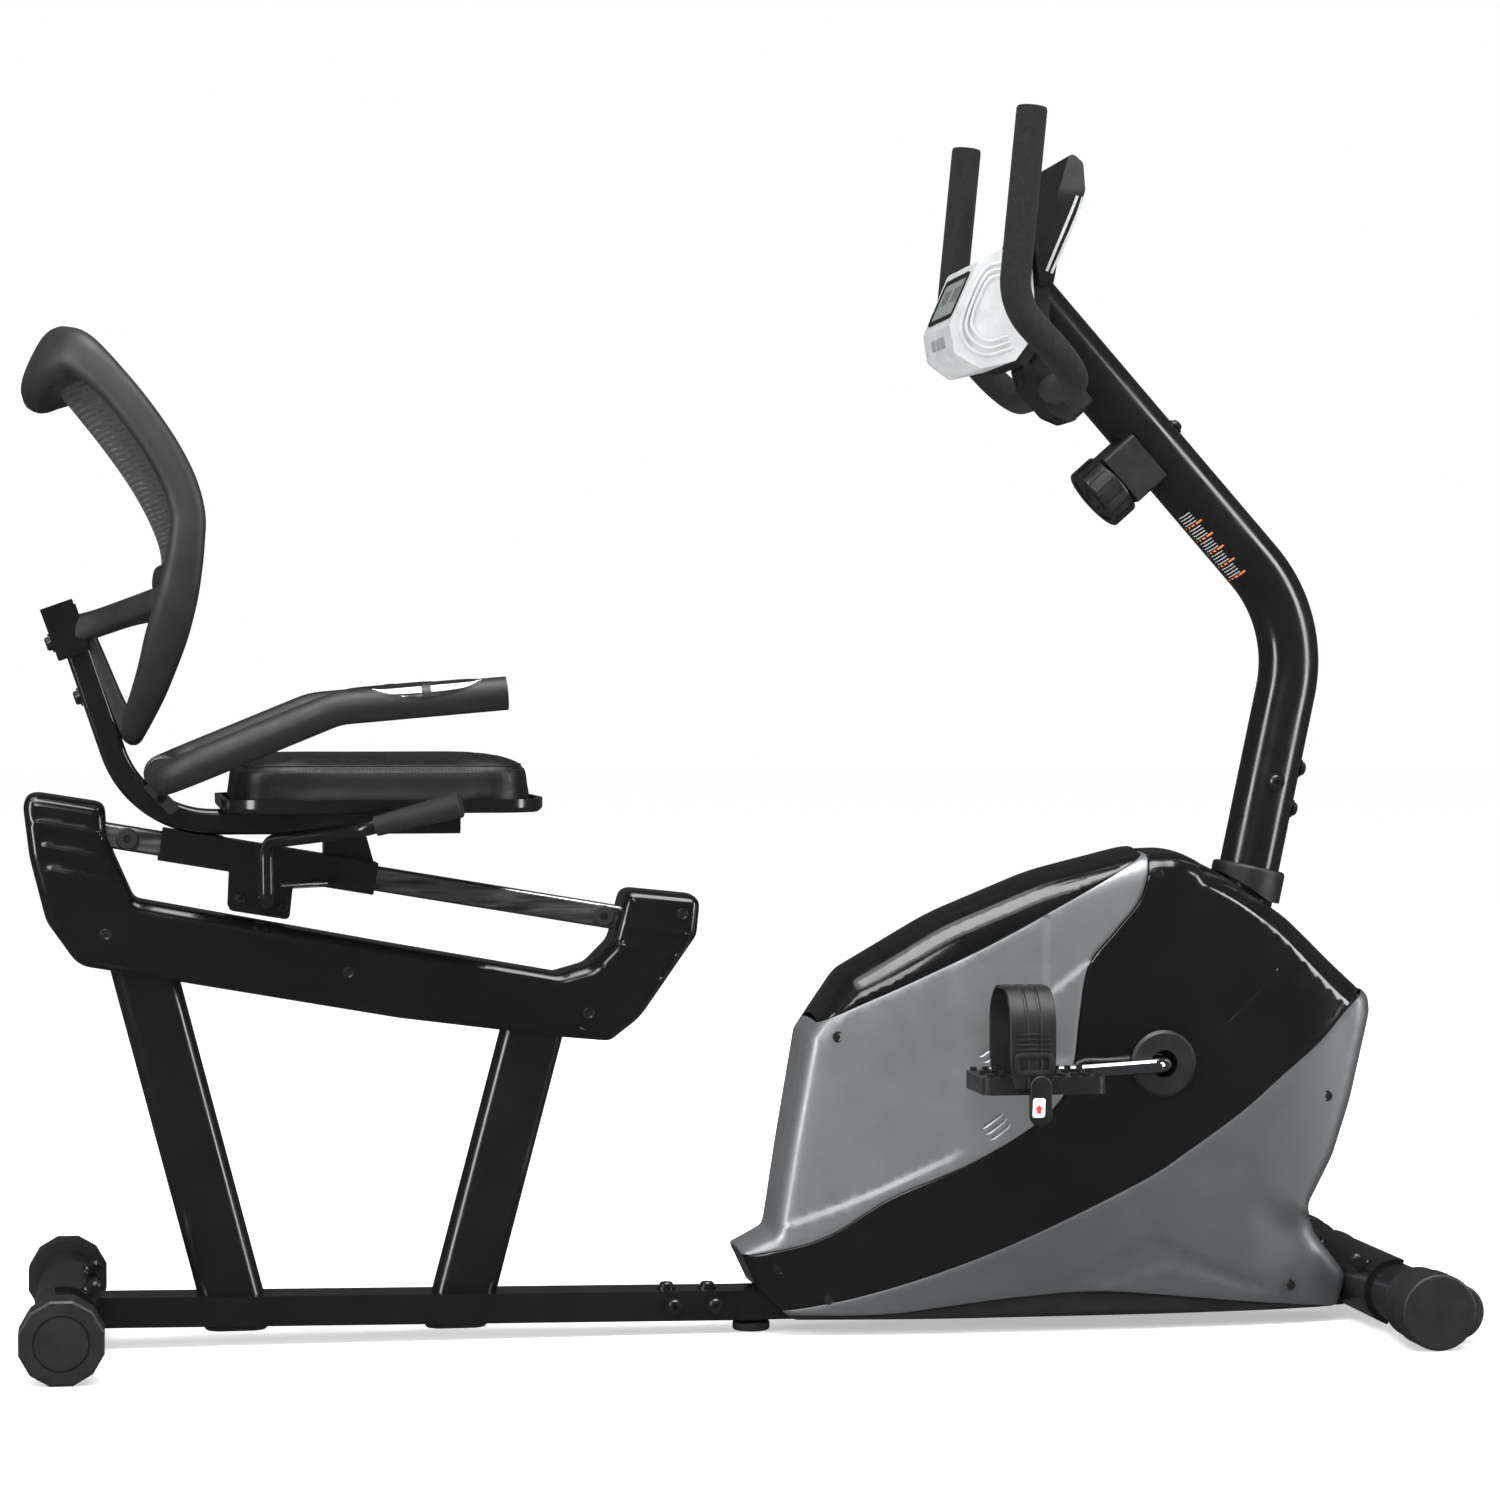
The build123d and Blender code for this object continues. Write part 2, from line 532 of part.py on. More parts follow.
def seat_outline(x0, x1, half, bow):
    """Plan points of the seat: straight rear, gently bowed front."""
    front = [(x1 - bow, -half), (x1, -half * 0.45), (x1, half * 0.45), (x1 - bow, half)]
    return [(x0, -half)] + front + [(x0, half)]


def seat_pan():
    pan = plan_slab(seat_outline(-531, -214, 184, 14), PAN_Z, PAN_Z + PAN_T, [60, 48, 90, 90, 48, 60])
    pan = fillet(pan.edges().group_by(Axis.Z)[0], 5.0)
    room = plan_slab(seat_outline(-525, -220, 178, 14), PAN_Z + 3, PAN_Z + 30, [54, 42, 84, 84, 42, 54])
    return pan - room


def seat_cushion():
    outline = seat_outline(-524, -221, 177, 14)
    foam = plan_slab(outline, PAN_Z + 3.2, CUSHION_TOP - 1, [53, 41, 83, 83, 41, 53])
    return fillet(foam.edges().group_by(Axis.Z)[-1], 12.0)


def seat_handlebar():
    arm = [(-268, BAR_HALF, 649), (-425, BAR_HALF, 635), (BAR_X, BAR_HALF, BAR_Z)]
    path = [(x, -y, z) for x, y, z in arm] + [arm[2], arm[1], arm[0]]
    return round_tube(path, [70, 46, 46, 70], BAR_R, 2.0)


def bar_end_plugs():
    axis = Vector(157, 0, 14).normalized()
    tip = Vector(-268, -BAR_HALF, 649)
    plug = rod(tip - axis * 16, tip, BAR_R - 2.05) + rod(tip, tip + axis * 2.5, BAR_R)
    return both_sides(plug)


def bar_clamp():
    """Strap round the seat handlebar with ears on both sides of the seat tube."""
    strap = rod((BAR_X, -23, BAR_Z), (BAR_X, 23, BAR_Z), BAR_R + 2.6, BAR_R + 0.1)
    arc_x, arc_z = -536.0, SEAT_TUBE_Z + SEAT_ARC_R
    outside = Pos(arc_x, 0, arc_z) * Box(600, 100, 600)
    outside -= rod((arc_x, -50, arc_z), (arc_x, 50, arc_z), SEAT_ARC_R - SEAT_TUBE_D / 2 - 0.1)
    strap -= outside
    ear = slab([(-604, 556), (-596, 564), (-568, 536), (-578, 528)], -26.5, -22.8, 3)
    ear -= rod((BAR_X, -60, BAR_Z), (BAR_X, 60, BAR_Z), BAR_R + 0.1)
    ear -= shank_hole(*clamp_bolt_seats()[0], 6)
    return strap, both_sides(ear)


def pulse_sensors():
    """Boat-shaped contact plates on top of the seat handlebar's arms."""
    start, end = Vector(-393, -BAR_HALF, 638), Vector(-288, -BAR_HALF, 647.3)
    ring = rod(start, end, BAR_R + 1.6, BAR_R + 0.05)
    boat = [(-393, -BAR_HALF), (-365, -BAR_HALF - 12), (-316, -BAR_HALF - 12), (-288, -BAR_HALF),
            (-316, -BAR_HALF + 12), (-365, -BAR_HALF + 12)]
    plate = ring & plan_slab(boat, 640, 680, [1, 60, 60, 1, 60, 60])
    return both_sides(plate)


def back_curve(shift):
    """Backrest's front line on its middle, moved towards the rear by a thickness square to it."""
    points = []
    for i, (x, z) in enumerate(BACK_FRONT):
        x0, z0 = BACK_FRONT[max(i - 1, 0)]
        x1, z1 = BACK_FRONT[min(i + 1, len(BACK_FRONT) - 1)]
        length = math.dist((x0, z0), (x1, z1))
        points.append((x - shift * -(z1 - z0) / length, z - shift * (x1 - x0) / length))
    return points


def back_band(near, far):
    """Dished sheet of the backrest, between two depths behind its front line; its sides come forward."""
    front = Spline(*[(x, 0, z) for x, z in back_curve(near)])
    rear = Spline(*[(x, 0, z) for x, z in back_curve(far)])
    outline = [front, rear, Line(front @ 0, rear @ 0), Line(front @ 1, rear @ 1)]
    face = make_face([curve.edge() for curve in outline])
    return turned_about_back_axis(face, 20)


def back_front_view(inset):
    """Front-view outline of the backrest, carried along X."""
    left = [(200, 990), (206, 800), (150, 690), (58, 600)]
    right = [(-y, z) for y, z in reversed(left)]
    points = [right[-1]] + left + right[:-1]
    radii = [60, 60, 90, 160, 30, 30, 160, 90]
    outline = FilletPolyline(*[(0, y, z + 14) for y, z in points], radius=radii, close=True)
    face = make_face(outline.edges())
    if inset:
        face = offset(face, amount=-inset)
    return Pos(-800, 0, 0) * extrude(face, amount=500, dir=(1, 0, 0))


def turned_about_back_axis(face, half_angle):
    """Solid made by turning a face in the plane Y = 0 to both sides about the dish's upright axis."""
    axis = Axis((BACK_AXIS_X, 0, 0), (0, 0, 1))
    return revolve(face, axis, 2 * half_angle).rotate(axis, -half_angle)


def backrest_frame():
    ring = (back_band(0, 26) & back_front_view(0)) - back_front_view(34)
    roll = round_tube([(-684, -150, 964), (-704, 0, 964), (-684, 150, 964)], [500], 17.0)
    bar = back_band(1.5, 25) & slab([(-660, 716), (-520, 716), (-520, 752), (-660, 752)], -170, 170)
    arm = slab([(-672, 734), (-660, 702), (-606, 716), (-584, 730), (-584, 750), (-604, 750)], -26, 26, 6)
    spine = beam((-660, 704), (-619, 612), 16, 46) + slab([(-632, 640), (-598, 606), (-625, 606)], -24, 24)
    part = ring + roll + bar + arm + spine
    return part - tube_room_for_back()


def tube_room_for_back():
    """Room for the seat tube and its top bracket."""
    tube = seat_tube(RectangleRounded(SEAT_TUBE_W + 0.6, SEAT_TUBE_D + 0.6, 6))
    behind = slab([(-760, 760), (-690, 745), (-655, 640), (-630, 590), (-760, 590)], -60, 60)
    return tube + top_bracket(-0.3) + behind


def backrest_mesh():
    """Stretched sheet inside the frame, from the crossbar up to the roll."""
    low, high = 754, 950
    height_range = Pos(0, 0, (low + high) / 2) * Box(3000, 600, high - low)
    return back_band(12, 13.6) & back_front_view(34.2) & height_range


def seat_bolts():
    bolts = [bolt(seat, axis, 5.0) for seat, axis in back_bolt_seats()]
    for seat, axis in bracket_bolt_seats():
        bolts.append(bolt(seat, axis, 3.5, head_r=5.0, head_h=3.0, washer=False))
    for seat, axis in clamp_bolt_seats():
        bolts.append(bolt(seat, axis, 3.6, head_r=5.5, head_h=5.0, washer=False))
    return bolts


# ---- pod ----------------------------------------------------------------------------------------


def pod_plan(shrink):
    right = [(x, -(half - shrink)) for x, half in POD_PLAN]
    left = [(x, half - shrink) for x, half in reversed(POD_PLAN)]
    return plan_slab(right + left, 0, 520, [4, 200, 400, 500, 200, 30, 30, 200, 500, 400, 200, 4])


def pod_solid(shrink):
    face = side_face(POD, POD_R)
    if shrink:
        face = offset(face, amount=-shrink)
    return Pos(0, -100, 0) * extrude(face, amount=200, dir=(0, 1, 0)) & pod_plan(shrink)


def region(edge, corners, grow=0.0):
    """Side-view region bounded by an edge line and outer corners, as a cutter over the full width."""
    face = side_face(edge + corners)
    if grow:
        face = offset(face, amount=grow, kind=Kind.INTERSECTION)
    return Pos(0, -120, 0) * extrude(face, amount=240, dir=(0, 1, 0))


def silver_region(grow):
    return region(SILVER_EDGE, [(-60, 80), (-60, 520), (409, 520)], grow)


def cover_region(grow):
    return region(COVER_EDGE, [(418, 540), (-60, 540), (-60, 303)], grow)


def grey_region(grow):
    return region(GREY_EDGE, [(30, -20), (720, -20), (720, 345)], grow)


def mast_line(z):
    """x on the mast post's axis at height z."""
    return MAST_FOOT[0] + (z - MAST_FOOT[1]) * 0.208 / 0.978


def pod_shell():
    shell = pod_solid(0) - pod_solid(POD_WALL)
    shell -= rod((CRANK_X, -120, CRANK_Z), (CRANK_X, 120, CRANK_Z), 30.0)
    shell -= rod((mast_line(380), 0, 380), (mast_line(600), 0, 600), MAST_R + 1)
    shell -= Pos(300, 0, 10) * Box(760, BEAM_W + 4, 78)
    right, left = (FRONT_STAB_X, -130, FRONT_STAB_Z), (FRONT_STAB_X, 130, FRONT_STAB_Z)
    saddle_room = rod(right, left, STAB_R + SADDLE_T + 1)
    tongue_room = Pos(600, 0, 50) * Box(90, 64, 70)
    return shell - tongue_room - saddle_room


def pod_panels():
    shell = pod_shell()
    right = shell - Pos(0, 120, 0) * Box(3000, 240, 3000)
    cover = shell & cover_region(0)
    sides = right - cover_region(SEAM)
    silver = sides & silver_region(0)
    grey = sides & grey_region(0)
    black = sides - silver_region(SEAM) - grey_region(SEAM)
    for x, z in POD_SCREWS:
        hole = rod((x, -120, z), (x, -40, z), 4.2)
        silver -= hole
        grey -= hole
        black -= hole
    return cover, silver, grey, black


def biggest(shape):
    return shape.solids().sort_by(SortBy.VOLUME)[-1]


def pod_half(x):
    """Half width of the pod at x."""
    for (x0, w0), (x1, w1) in zip(POD_PLAN, POD_PLAN[1:]):
        if x0 <= x <= x1:
            return w0 + (w1 - w0) * (x - x0) / (x1 - x0)
    return POD_PLAN[-1][1]


def shroud_screws():
    screws = []
    for x, z in POD_SCREWS:
        y = -(pod_half(x) - 4.5)
        screw = rod((x, y, z), (x, y + 3, z), 4.0) + rod((x, y + 3, z), (x, y + 16, z), 2.0)
        screws += both_sides(screw)
    return screws


def mast_boot():
    """Collar where the mast post leaves the pod."""
    base, top = 438.0, 470.0
    outer = rod((mast_line(base), 0, base), (mast_line(top), 0, top), MAST_R + 7)
    outer = fillet(outer.edges().filter_by(GeomType.CIRCLE).sort_by(Axis.Z)[-1], 4.0)
    bore = rod((mast_line(380), 0, 380), (mast_line(600), 0, 600), MAST_R + 0.3)
    return outer - bore - pod_solid(0)


def crank_rings():
    """Round trims on the shroud where the crank's axle comes out."""
    y = -(pod_half(CRANK_X) + 0.2)
    ring = rod((CRANK_X, y, CRANK_Z), (CRANK_X, y - 5, CRANK_Z), 34.0)
    ring = chamfer(ring.faces().sort_by(Axis.Y)[0].edges(), 3.0)
    ring += rod((CRANK_X, y, CRANK_Z), (CRANK_X, y + 12, CRANK_Z), 29.5)
    return both_sides(ring - rod((CRANK_X, y - 8, CRANK_Z), (CRANK_X, y + 20, CRANK_Z), 14.0))


# ---- drive --------------------------------------------------------------------------------------
def mast_post():
    foot = (mast_line(40), 0, 40)
    lower = rod(foot, (MAST_FOOT[0], 0, MAST_FOOT[1]), MAST_R, MAST_R - 3)
    neck_top = (mast_line(607), 0, 607)
    neck = rod((mast_line(480), 0, 480), neck_top, MAST_R - MAST_WALL - 0.3, MAST_R - 6)
    floor_cut = Pos(0, 0, BEAM_MID_Z + BEAM_H / 2 + 0.35 - 50) * Box(2000, 100, 100)
    post_tube = lower + neck - floor_cut
    return post_tube - mast_bolt_holes()


def bottom_bracket():
    shell = rod((CRANK_X, -36, CRANK_Z), (CRANK_X, 36, CRANK_Z), 24.0)
    web = beam((CRANK_X, CRANK_Z), (CRANK_X + 62, CRANK_Z - 13), 30, 40)
    part = shell + web - rod((mast_line(60), 0, 60), (mast_line(500), 0, 500), MAST_R + 0.05)
    return biggest(part - rod((CRANK_X, -40, CRANK_Z), (CRANK_X, 40, CRANK_Z), 17.0))


def crank_bearings():
    bearing = rod((CRANK_X, -36, CRANK_Z), (CRANK_X, -24, CRANK_Z), 16.95, 8.55)
    return both_sides(bearing)


def crank_end(side):
    """Point on the crank eye's axis; the right arm points to the rear, the left one to the front."""
    sign = 1 if side < 0 else -1
    return (CRANK_X + sign * CRANK_DIR[0] * CRANK_LEN, CRANK_Z + sign * CRANK_DIR[1] * CRANK_LEN)


def crank():
    right, left = crank_end(-1), crank_end(1)
    path = [(right[0], -CRANK_Y, right[1]), (CRANK_X, -CRANK_Y + 8, CRANK_Z),
            (CRANK_X, CRANK_Y - 8, CRANK_Z), (left[0], CRANK_Y, left[1])]
    bar = round_tube(path, [15, 15], CRANK_ROD_R)
    bar += rod((CRANK_X, -60, CRANK_Z), (CRANK_X, 60, CRANK_Z), 8.5)
    for (x, z), side in ((right, -1), (left, 1)):
        bar += rod((x, side * (CRANK_Y - 8), z), (x, side * (CRANK_Y + 7), z), 13.0)
        bar -= rod((x, side * (CRANK_Y - 9), z), (x, side * (CRANK_Y + 9), z), 6.55)
    return bar


def belt_loop(grow, y, width):
    """Tight loop round both pulleys, as a solid, grown outwards from the pulleys' rims."""
    dx, dz = CRANK_X - FLY_X, CRANK_Z - FLY_Z
    length = math.hypot(dx, dz)
    base = math.atan2(dz, dx)
    swing = math.acos((FLY_PULLEY_R - PULLEY_R) / length)
    big, small = PULLEY_R + grow, FLY_PULLEY_R + grow
    lines = []
    for sign in (1, -1):
        a = base + sign * swing
        lines.append((FLY_X + small * math.cos(a), FLY_Z + small * math.sin(a)))
        lines.append((CRANK_X + big * math.cos(a), CRANK_Z + big * math.sin(a)))
    band = slab([lines[0], lines[1], lines[3], lines[2]], y - width / 2, y + width / 2)
    for x, z, r in ((FLY_X, FLY_Z, small), (CRANK_X, CRANK_Z, big)):
        band += rod((x, y - width / 2, z), (x, y + width / 2, z), r)
    return band


def drive_belt():
    return belt_loop(3.3, BELT_Y, BELT_W - 2) - belt_loop(0.3, BELT_Y, BELT_W + 4)


def drive_pulley():
    y0, y1 = BELT_Y - BELT_W / 2, BELT_Y + BELT_W / 2
    disc = rod((CRANK_X, y0, CRANK_Z), (CRANK_X, y1, CRANK_Z), PULLEY_R, 8.5)
    for face_y, depth in ((y0, 5), (y1, -5)):
        disc -= rod((CRANK_X, face_y, CRANK_Z), (CRANK_X, face_y + depth, CRANK_Z), PULLEY_R - 9, 26)
    for i in range(5):
        a = math.radians(72 * i)
        x, z = CRANK_X + 64 * math.cos(a), CRANK_Z + 64 * math.sin(a)
        disc -= rod((x, y0 - 1, z), (x, y1 + 1, z), 20)
    return disc


def flywheel():
    wheel = rod((FLY_X, -FLY_T / 2, FLY_Z), (FLY_X, FLY_T / 2, FLY_Z), FLY_R)
    for face_y, depth in ((-FLY_T / 2, 7), (FLY_T / 2, -7)):
        wheel -= rod((FLY_X, face_y, FLY_Z), (FLY_X, face_y + depth, FLY_Z), FLY_R - 24, 26)
    hub = rod((FLY_X, BELT_Y + BELT_W / 2, FLY_Z), (FLY_X, 18, FLY_Z), 13.0)
    groove = rod((FLY_X, BELT_Y - BELT_W / 2, FLY_Z), (FLY_X, BELT_Y + BELT_W / 2, FLY_Z), FLY_PULLEY_R)
    return wheel + hub + groove - rod((FLY_X, -80, FLY_Z), (FLY_X, 80, FLY_Z), 6.05)


def flywheel_brackets():
    """Two plates welded to the beam's sides that carry the flywheel's axle."""
    inner = BEAM_W / 2 + 0.1
    plate = slab([(160, 20), (176, 232), (204, 232), (220, 20)], inner, inner + 4.0, [2, 12, 12, 2])
    plate -= rod((FLY_X, 0, FLY_Z), (FLY_X, 60, FLY_Z), 6.0)
    right = mirror(plate, about=Plane.XZ) - rod((FLY_X, -60, FLY_Z), (FLY_X, 0, FLY_Z), 13.6)
    outer = slab([(160, 20), (176, 232), (204, 232), (220, 20)], -62.1, -58.1, [2, 12, 12, 2])
    outer -= rod((FLY_X, -80, FLY_Z), (FLY_X, 0, FLY_Z), 6.0)
    foot = Pos(190, -43.6, 22) * Box(50, 29.0, 4)
    return [plate, right - foot, outer - foot, foot]


def flywheel_axle():
    return rod((FLY_X, -66, FLY_Z), (FLY_X, 34, FLY_Z), 6.0)


def magnet_carrier():
    arc = ring_arc(FLY_X, FLY_Z, FLY_R + 12, FLY_R + 20, 96, 172, -14, 14)
    boss = rod((MAGNET_X, -14, MAGNET_Z), (MAGNET_X, 14, MAGNET_Z), 8.0)
    return arc + boss - rod((MAGNET_X, -20, MAGNET_Z), (MAGNET_X, 20, MAGNET_Z), 4.05)


def magnet_bracket():
    side = slab([(50, 45), (52, 236), (72, 236), (90, 45)], 15.5, 18.5, [2, 8, 8, 2])
    base = Pos(70, 0, 45) * Box(60, 44, 3.6)
    pin = rod((MAGNET_X, -22, MAGNET_Z), (MAGNET_X, 22, MAGNET_Z), 4.0)
    return side + mirror(side, about=Plane.XZ) + base + pin


# ---- pedals -------------------------------------------------------------------------------------
def pedal_frame(side):
    """Pedal body built round the origin of its spindle, outboard along the side's direction."""
    x, z = crank_end(side)
    return Pos(x, 0, z)


def pedal_parts(side):
    inner, outer = CRANK_Y + 15, CRANK_Y + 104
    body = Pos(0, -(inner + outer) / 2, 0) * Box(124, outer - inner, 17)
    body = fillet(body.edges().filter_by(Axis.Z), 10.0)
    for y in (inner + 26, outer - 26):
        for x in (-40, -18, 18, 40):
            body -= Pos(x, -y, 0) * Box(15, 24, 30)
    studs = []
    for x in range(-54, 60, 12):
        for y in (inner + 6, (inner + outer) / 2, outer - 6):
            studs.append(Pos(x, -y, 9.5) * Box(6, 5, 5))
    for stud in studs:
        body += stud
    body += rod((0, -inner, 0), (0, -outer, 0), 10.5)
    body -= rod((0, -CRANK_Y, 0), (0, -outer + 6, 0), 5.05)
    outside = Plane(origin=(-6, -outer, -14), x_dir=(0, 0, 1), z_dir=(0, -1, 0))
    weight = outside * extrude(SlotOverall(50, 22), amount=7)
    body += fillet(weight.faces().sort_by(Axis.Y)[0].edges(), 2.0)
    spindle = rod((0, -CRANK_Y + 7, 0), (0, -CRANK_Y - 7.3, 0), 6.5)
    spindle += rod((0, -CRANK_Y - 7.3, 0), (0, -outer + 8, 0), 5.0)
    spindle += rod((0, -CRANK_Y - 7.3, 0), (0, -CRANK_Y - 12, 0), 8.5)
    strap = pedal_strap(inner, outer)
    place = pedal_frame(side)
    made = [place * piece for piece in (body, spindle, strap)]
    if side > 0:
        made = [pedal_frame(1) * mirror(piece, about=Plane.XZ) for piece in (body, spindle, strap)]
    return made


def pedal_strap(inner, outer):
    """Wide band that rises from the pedal's inner edge, over the foot, and down its outer edge."""
    rise, thick = 94.0, 3.0
    path = [(inner - 3.1, -8), (inner - 3.1, rise), (outer + 3.1, rise), (outer + 3.1, -34),
            (outer + 0.1, -34), (outer + 0.1, rise - thick), (inner - 0.1, rise - thick), (inner - 0.1, -8)]
    outline = FilletPolyline(*[(0, -y, z) for y, z in path],
                             radius=[0, 30, 30, 0, 0, 27, 27, 0], close=True)
    band = extrude(make_face(outline.edges()), amount=44, dir=(1, 0, 0))
    band = Pos(-48, 0, 0) * band - rod((0, -inner + 5, 0), (0, -inner - 5, 0), 9.5)
    return band - Pos(-6, -outer, -14) * Box(24, 30, 54)


# ---- mast, handlebar and console ----------------------------------------------------------------


def upper(along_mast, out, y=0.0):
    """Point given by its distance up the mast's upper run and its distance out towards the rider."""
    x = 410.0 + UPPER[0] * along_mast - UPPER[1] * out
    z = 928.5 + UPPER[1] * along_mast + UPPER[0] * out
    return (x, y, z)


def upper_plane(along_mast=0.0, out=0.0, y=0.0):
    """Local x up the mast, local y towards the rider, local z towards -Y."""
    return Plane(origin=upper(along_mast, out, y), x_dir=(UPPER[0], 0, UPPER[1]), z_dir=(0, -1, 0))


def mast_bolt_seats():
    forward = (0.978, 0, -0.208)
    seats = []
    for z in (536.0, 578.0):
        x = mast_line(z)
        seats.append(((x + forward[0] * MAST_R, 0, z + forward[2] * MAST_R), forward))
    for side in (-1, 1):
        seats.append(((mast_line(558), side * MAST_R, 558), (0, side, 0)))
    return seats


def mast_bolt_holes():
    holes = [shank_hole(seat, axis, 16) for seat, axis in mast_bolt_seats()]
    return holes[0] + holes[1] + holes[2] + holes[3]


def mast_path():
    joint_gap = 0.4
    foot = (MAST_FOOT[0], 0, MAST_FOOT[1] + joint_gap)
    return [foot] + [(x, 0, z) for x, z in (MAST_CORNER, MAST_TOP)]


def mast():
    tube = round_tube(mast_path(), [MAST_BEND], MAST_R, MAST_WALL)
    return tube - mast_bolt_holes() - rod(upper(-31, -40), upper(-31, 0), BOLT_R + 0.3)


def mast_bolts():
    bolts = [bolt(seat, axis, 11.0) for seat, axis in mast_bolt_seats()]
    bolts.append(bolt(upper(-31, -MAST_R), (-UPPER[1] * -1, 0, -UPPER[0] * 1), 10.0, head_r=6.0))
    return bolts


def clamp_saddle():
    """Lower half of the handlebar clamp, seated on the mast's rider side."""
    block = upper_plane(BAR_UP, BAR_OUT - 13) * Box(80, 26, 54)
    block = fillet(block.edges().filter_by(Axis(upper(0, 0), (-UPPER[1], 0, UPPER[0]))), 10.0)
    return block - rod(upper(0, 0), upper(160, 0), MAST_R + 0.25) - bar_core(0.1)


def clamp_cap():
    profile = [(-40, 0.3), (40, 0.3), (38, 8), (20, 17), (-20, 17), (-38, 8)]
    outline = FilletPolyline(*[(x, y) for x, y in profile], radius=[1, 1, 6, 14, 14, 6], close=True)
    cap = upper_plane(BAR_UP, BAR_OUT, 27) * extrude(make_face(outline.edges()), amount=54)
    cap = cap - bar_core(0.1)
    for up in (-27, 27):
        for y in (-15, 15):
            cap -= rod(upper(BAR_UP + up, BAR_OUT + 6, y), upper(BAR_UP + up, BAR_OUT + 30, y), 5.2)
            cap -= rod(upper(BAR_UP + up, BAR_OUT - 2, y), upper(BAR_UP + up, BAR_OUT + 30, y), 3.3)
    return cap


def clamp_screws():
    screws = []
    for up in (-27, 27):
        for y in (-15, 15):
            seat = upper(BAR_UP + up, BAR_OUT + 6, y)
            head = rod(seat, upper(BAR_UP + up, BAR_OUT + 10, y), 4.8)
            head -= rod(upper(BAR_UP + up, BAR_OUT + 8, y), upper(BAR_UP + up, BAR_OUT + 11, y), 2.4)
            screws.append(head + rod(upper(BAR_UP + up, BAR_OUT + 0.2, y), seat, 3.0))
    return screws


def bar_points():
    x, _, z = upper(BAR_UP, BAR_OUT)
    return [(266, GRIP_HALF, 1228), (247, GRIP_HALF, 1035), (x, GRIP_HALF, z)]


def bar_path(end_y):
    """Right half of the handlebar, from its grip's end to the given distance from the middle."""
    points = bar_points()
    x, _, z = points[-1]
    return [(px, -py, pz) for px, py, pz in points] + [(x, -end_y, z)]


def bar_core(extra):
    x, _, z = upper(BAR_UP, BAR_OUT)
    return rod((x, -60, z), (x, 60, z), GRIP_TUBE_R + extra)


def handlebar():
    half = round_tube(bar_path(20), [62, 44], GRIP_TUBE_R, 2.0)
    x, _, z = upper(BAR_UP, BAR_OUT)
    middle = rod((x, -20, z), (x, 20, z), GRIP_TUBE_R, GRIP_TUBE_R - 2)
    return half + middle + mirror(half, about=Plane.XZ)


def handlebar_grips():
    foam = swept(bar_path(29), [62, 44], Circle(GRIP_R) - Circle(GRIP_TUBE_R + 0.2))
    return both_sides(foam)


def grip_caps():
    axis = Vector(19, 0, 193).normalized()
    top = Vector(266, -GRIP_HALF, 1228) + axis * 0.1
    cap = rod(top, top + axis * 2.5, GRIP_R - 0.5)
    return both_sides(fillet(cap.edges().sort_by(Axis.Z)[-1], 1.5))


def screen_plane():
    """On the console's sloping front, at the middle of the screen; local x across, local z outwards."""
    return Plane(origin=(215, 0, 1054), x_dir=(0, -1, 0), z_dir=(-0.916, 0, 0.401))


def key_plane():
    """On the console's lower front, where the keys are."""
    return Plane(origin=(203.5, 0, 1007.5), x_dir=(0, -1, 0), z_dir=(-0.985, 0, -0.170))


def side_bevel(side):
    """Wedge that slopes the console's front away at one side."""
    outer = side * (CONSOLE_HALF + 1)
    edge = [(196, side * (CONSOLE_HALF - 9)), (230, outer), (196, outer)]
    return plan_slab(edge, 970, 1120)


def console_solid():
    return slab(CONSOLE, -CONSOLE_HALF, CONSOLE_HALF, [4, 6, 8, 6, 6, 6, 4, 4])


def console_housing():
    body = console_solid()
    for side in (-1, 1):
        body -= side_bevel(side)
    body -= screen_plane() * Box(110, 46, 5)
    for y in KEYS:
        body -= key_plane() * Pos(y, 0, -2) * Box(16.8, 10.8, 24)
    body -= slab([(290, 1060), (240, 1060), (222, 1030), (232, 1000), (300, 1000)], -60, 60)
    return body


def console_screen():
    return screen_plane() * Pos(0, 0, -1.2) * Box(109.6, 45.6, 2.4)


def console_key(y):
    key = key_plane() * Pos(y, 0, -3.6) * Box(16, 10, 9)
    return key


def console_back():
    """Dark rear shell of the console, with the bracket that holds it on the mast's top."""
    outline = [(291, 1104), (284.4, 1105), (291, 1016.5), (269, 985.6), (280, 982), (305, 1012), (305, 1060)]
    shell = slab(outline, -64, 64, [2, 0, 0, 0, 2, 10, 6])
    neck = beam((238, 1045), (300, 1045), 26, 44)
    tube_room = rod(upper(60, 0), upper(MAST_UP, 0), MAST_R + 0.3)
    return biggest(shell + neck - tube_room - key_room() - console_solid())


def key_room():
    return slab([(190, 980), (226, 980), (226, 1120), (190, 1120)], -80, 80)


def tablet_holder():
    """Wedge-shaped tray behind the console with a lip along its top."""
    tray = slab([(287, 1107), (324, 1199), (336, 1186), (334, 1156), (309, 1090), (306, 1062), (292, 1062)],
                -100, 100, [2, 5, 8, 12, 20, 4, 2])
    outline = [(-100, 1150), (-72, 1202), (72, 1202), (100, 1150), (76, 1058), (-76, 1058)]
    frame = FilletPolyline(*[(0, y, z) for y, z in outline], radius=[24, 20, 20, 24, 20, 20], close=True)
    tray = tray & Pos(200, 0, 0) * extrude(make_face(frame.edges()), amount=200, dir=(1, 0, 0))
    return tray - rod(upper(60, 0), upper(200, 0), MAST_R + 0.4) - console_back() - console_solid()


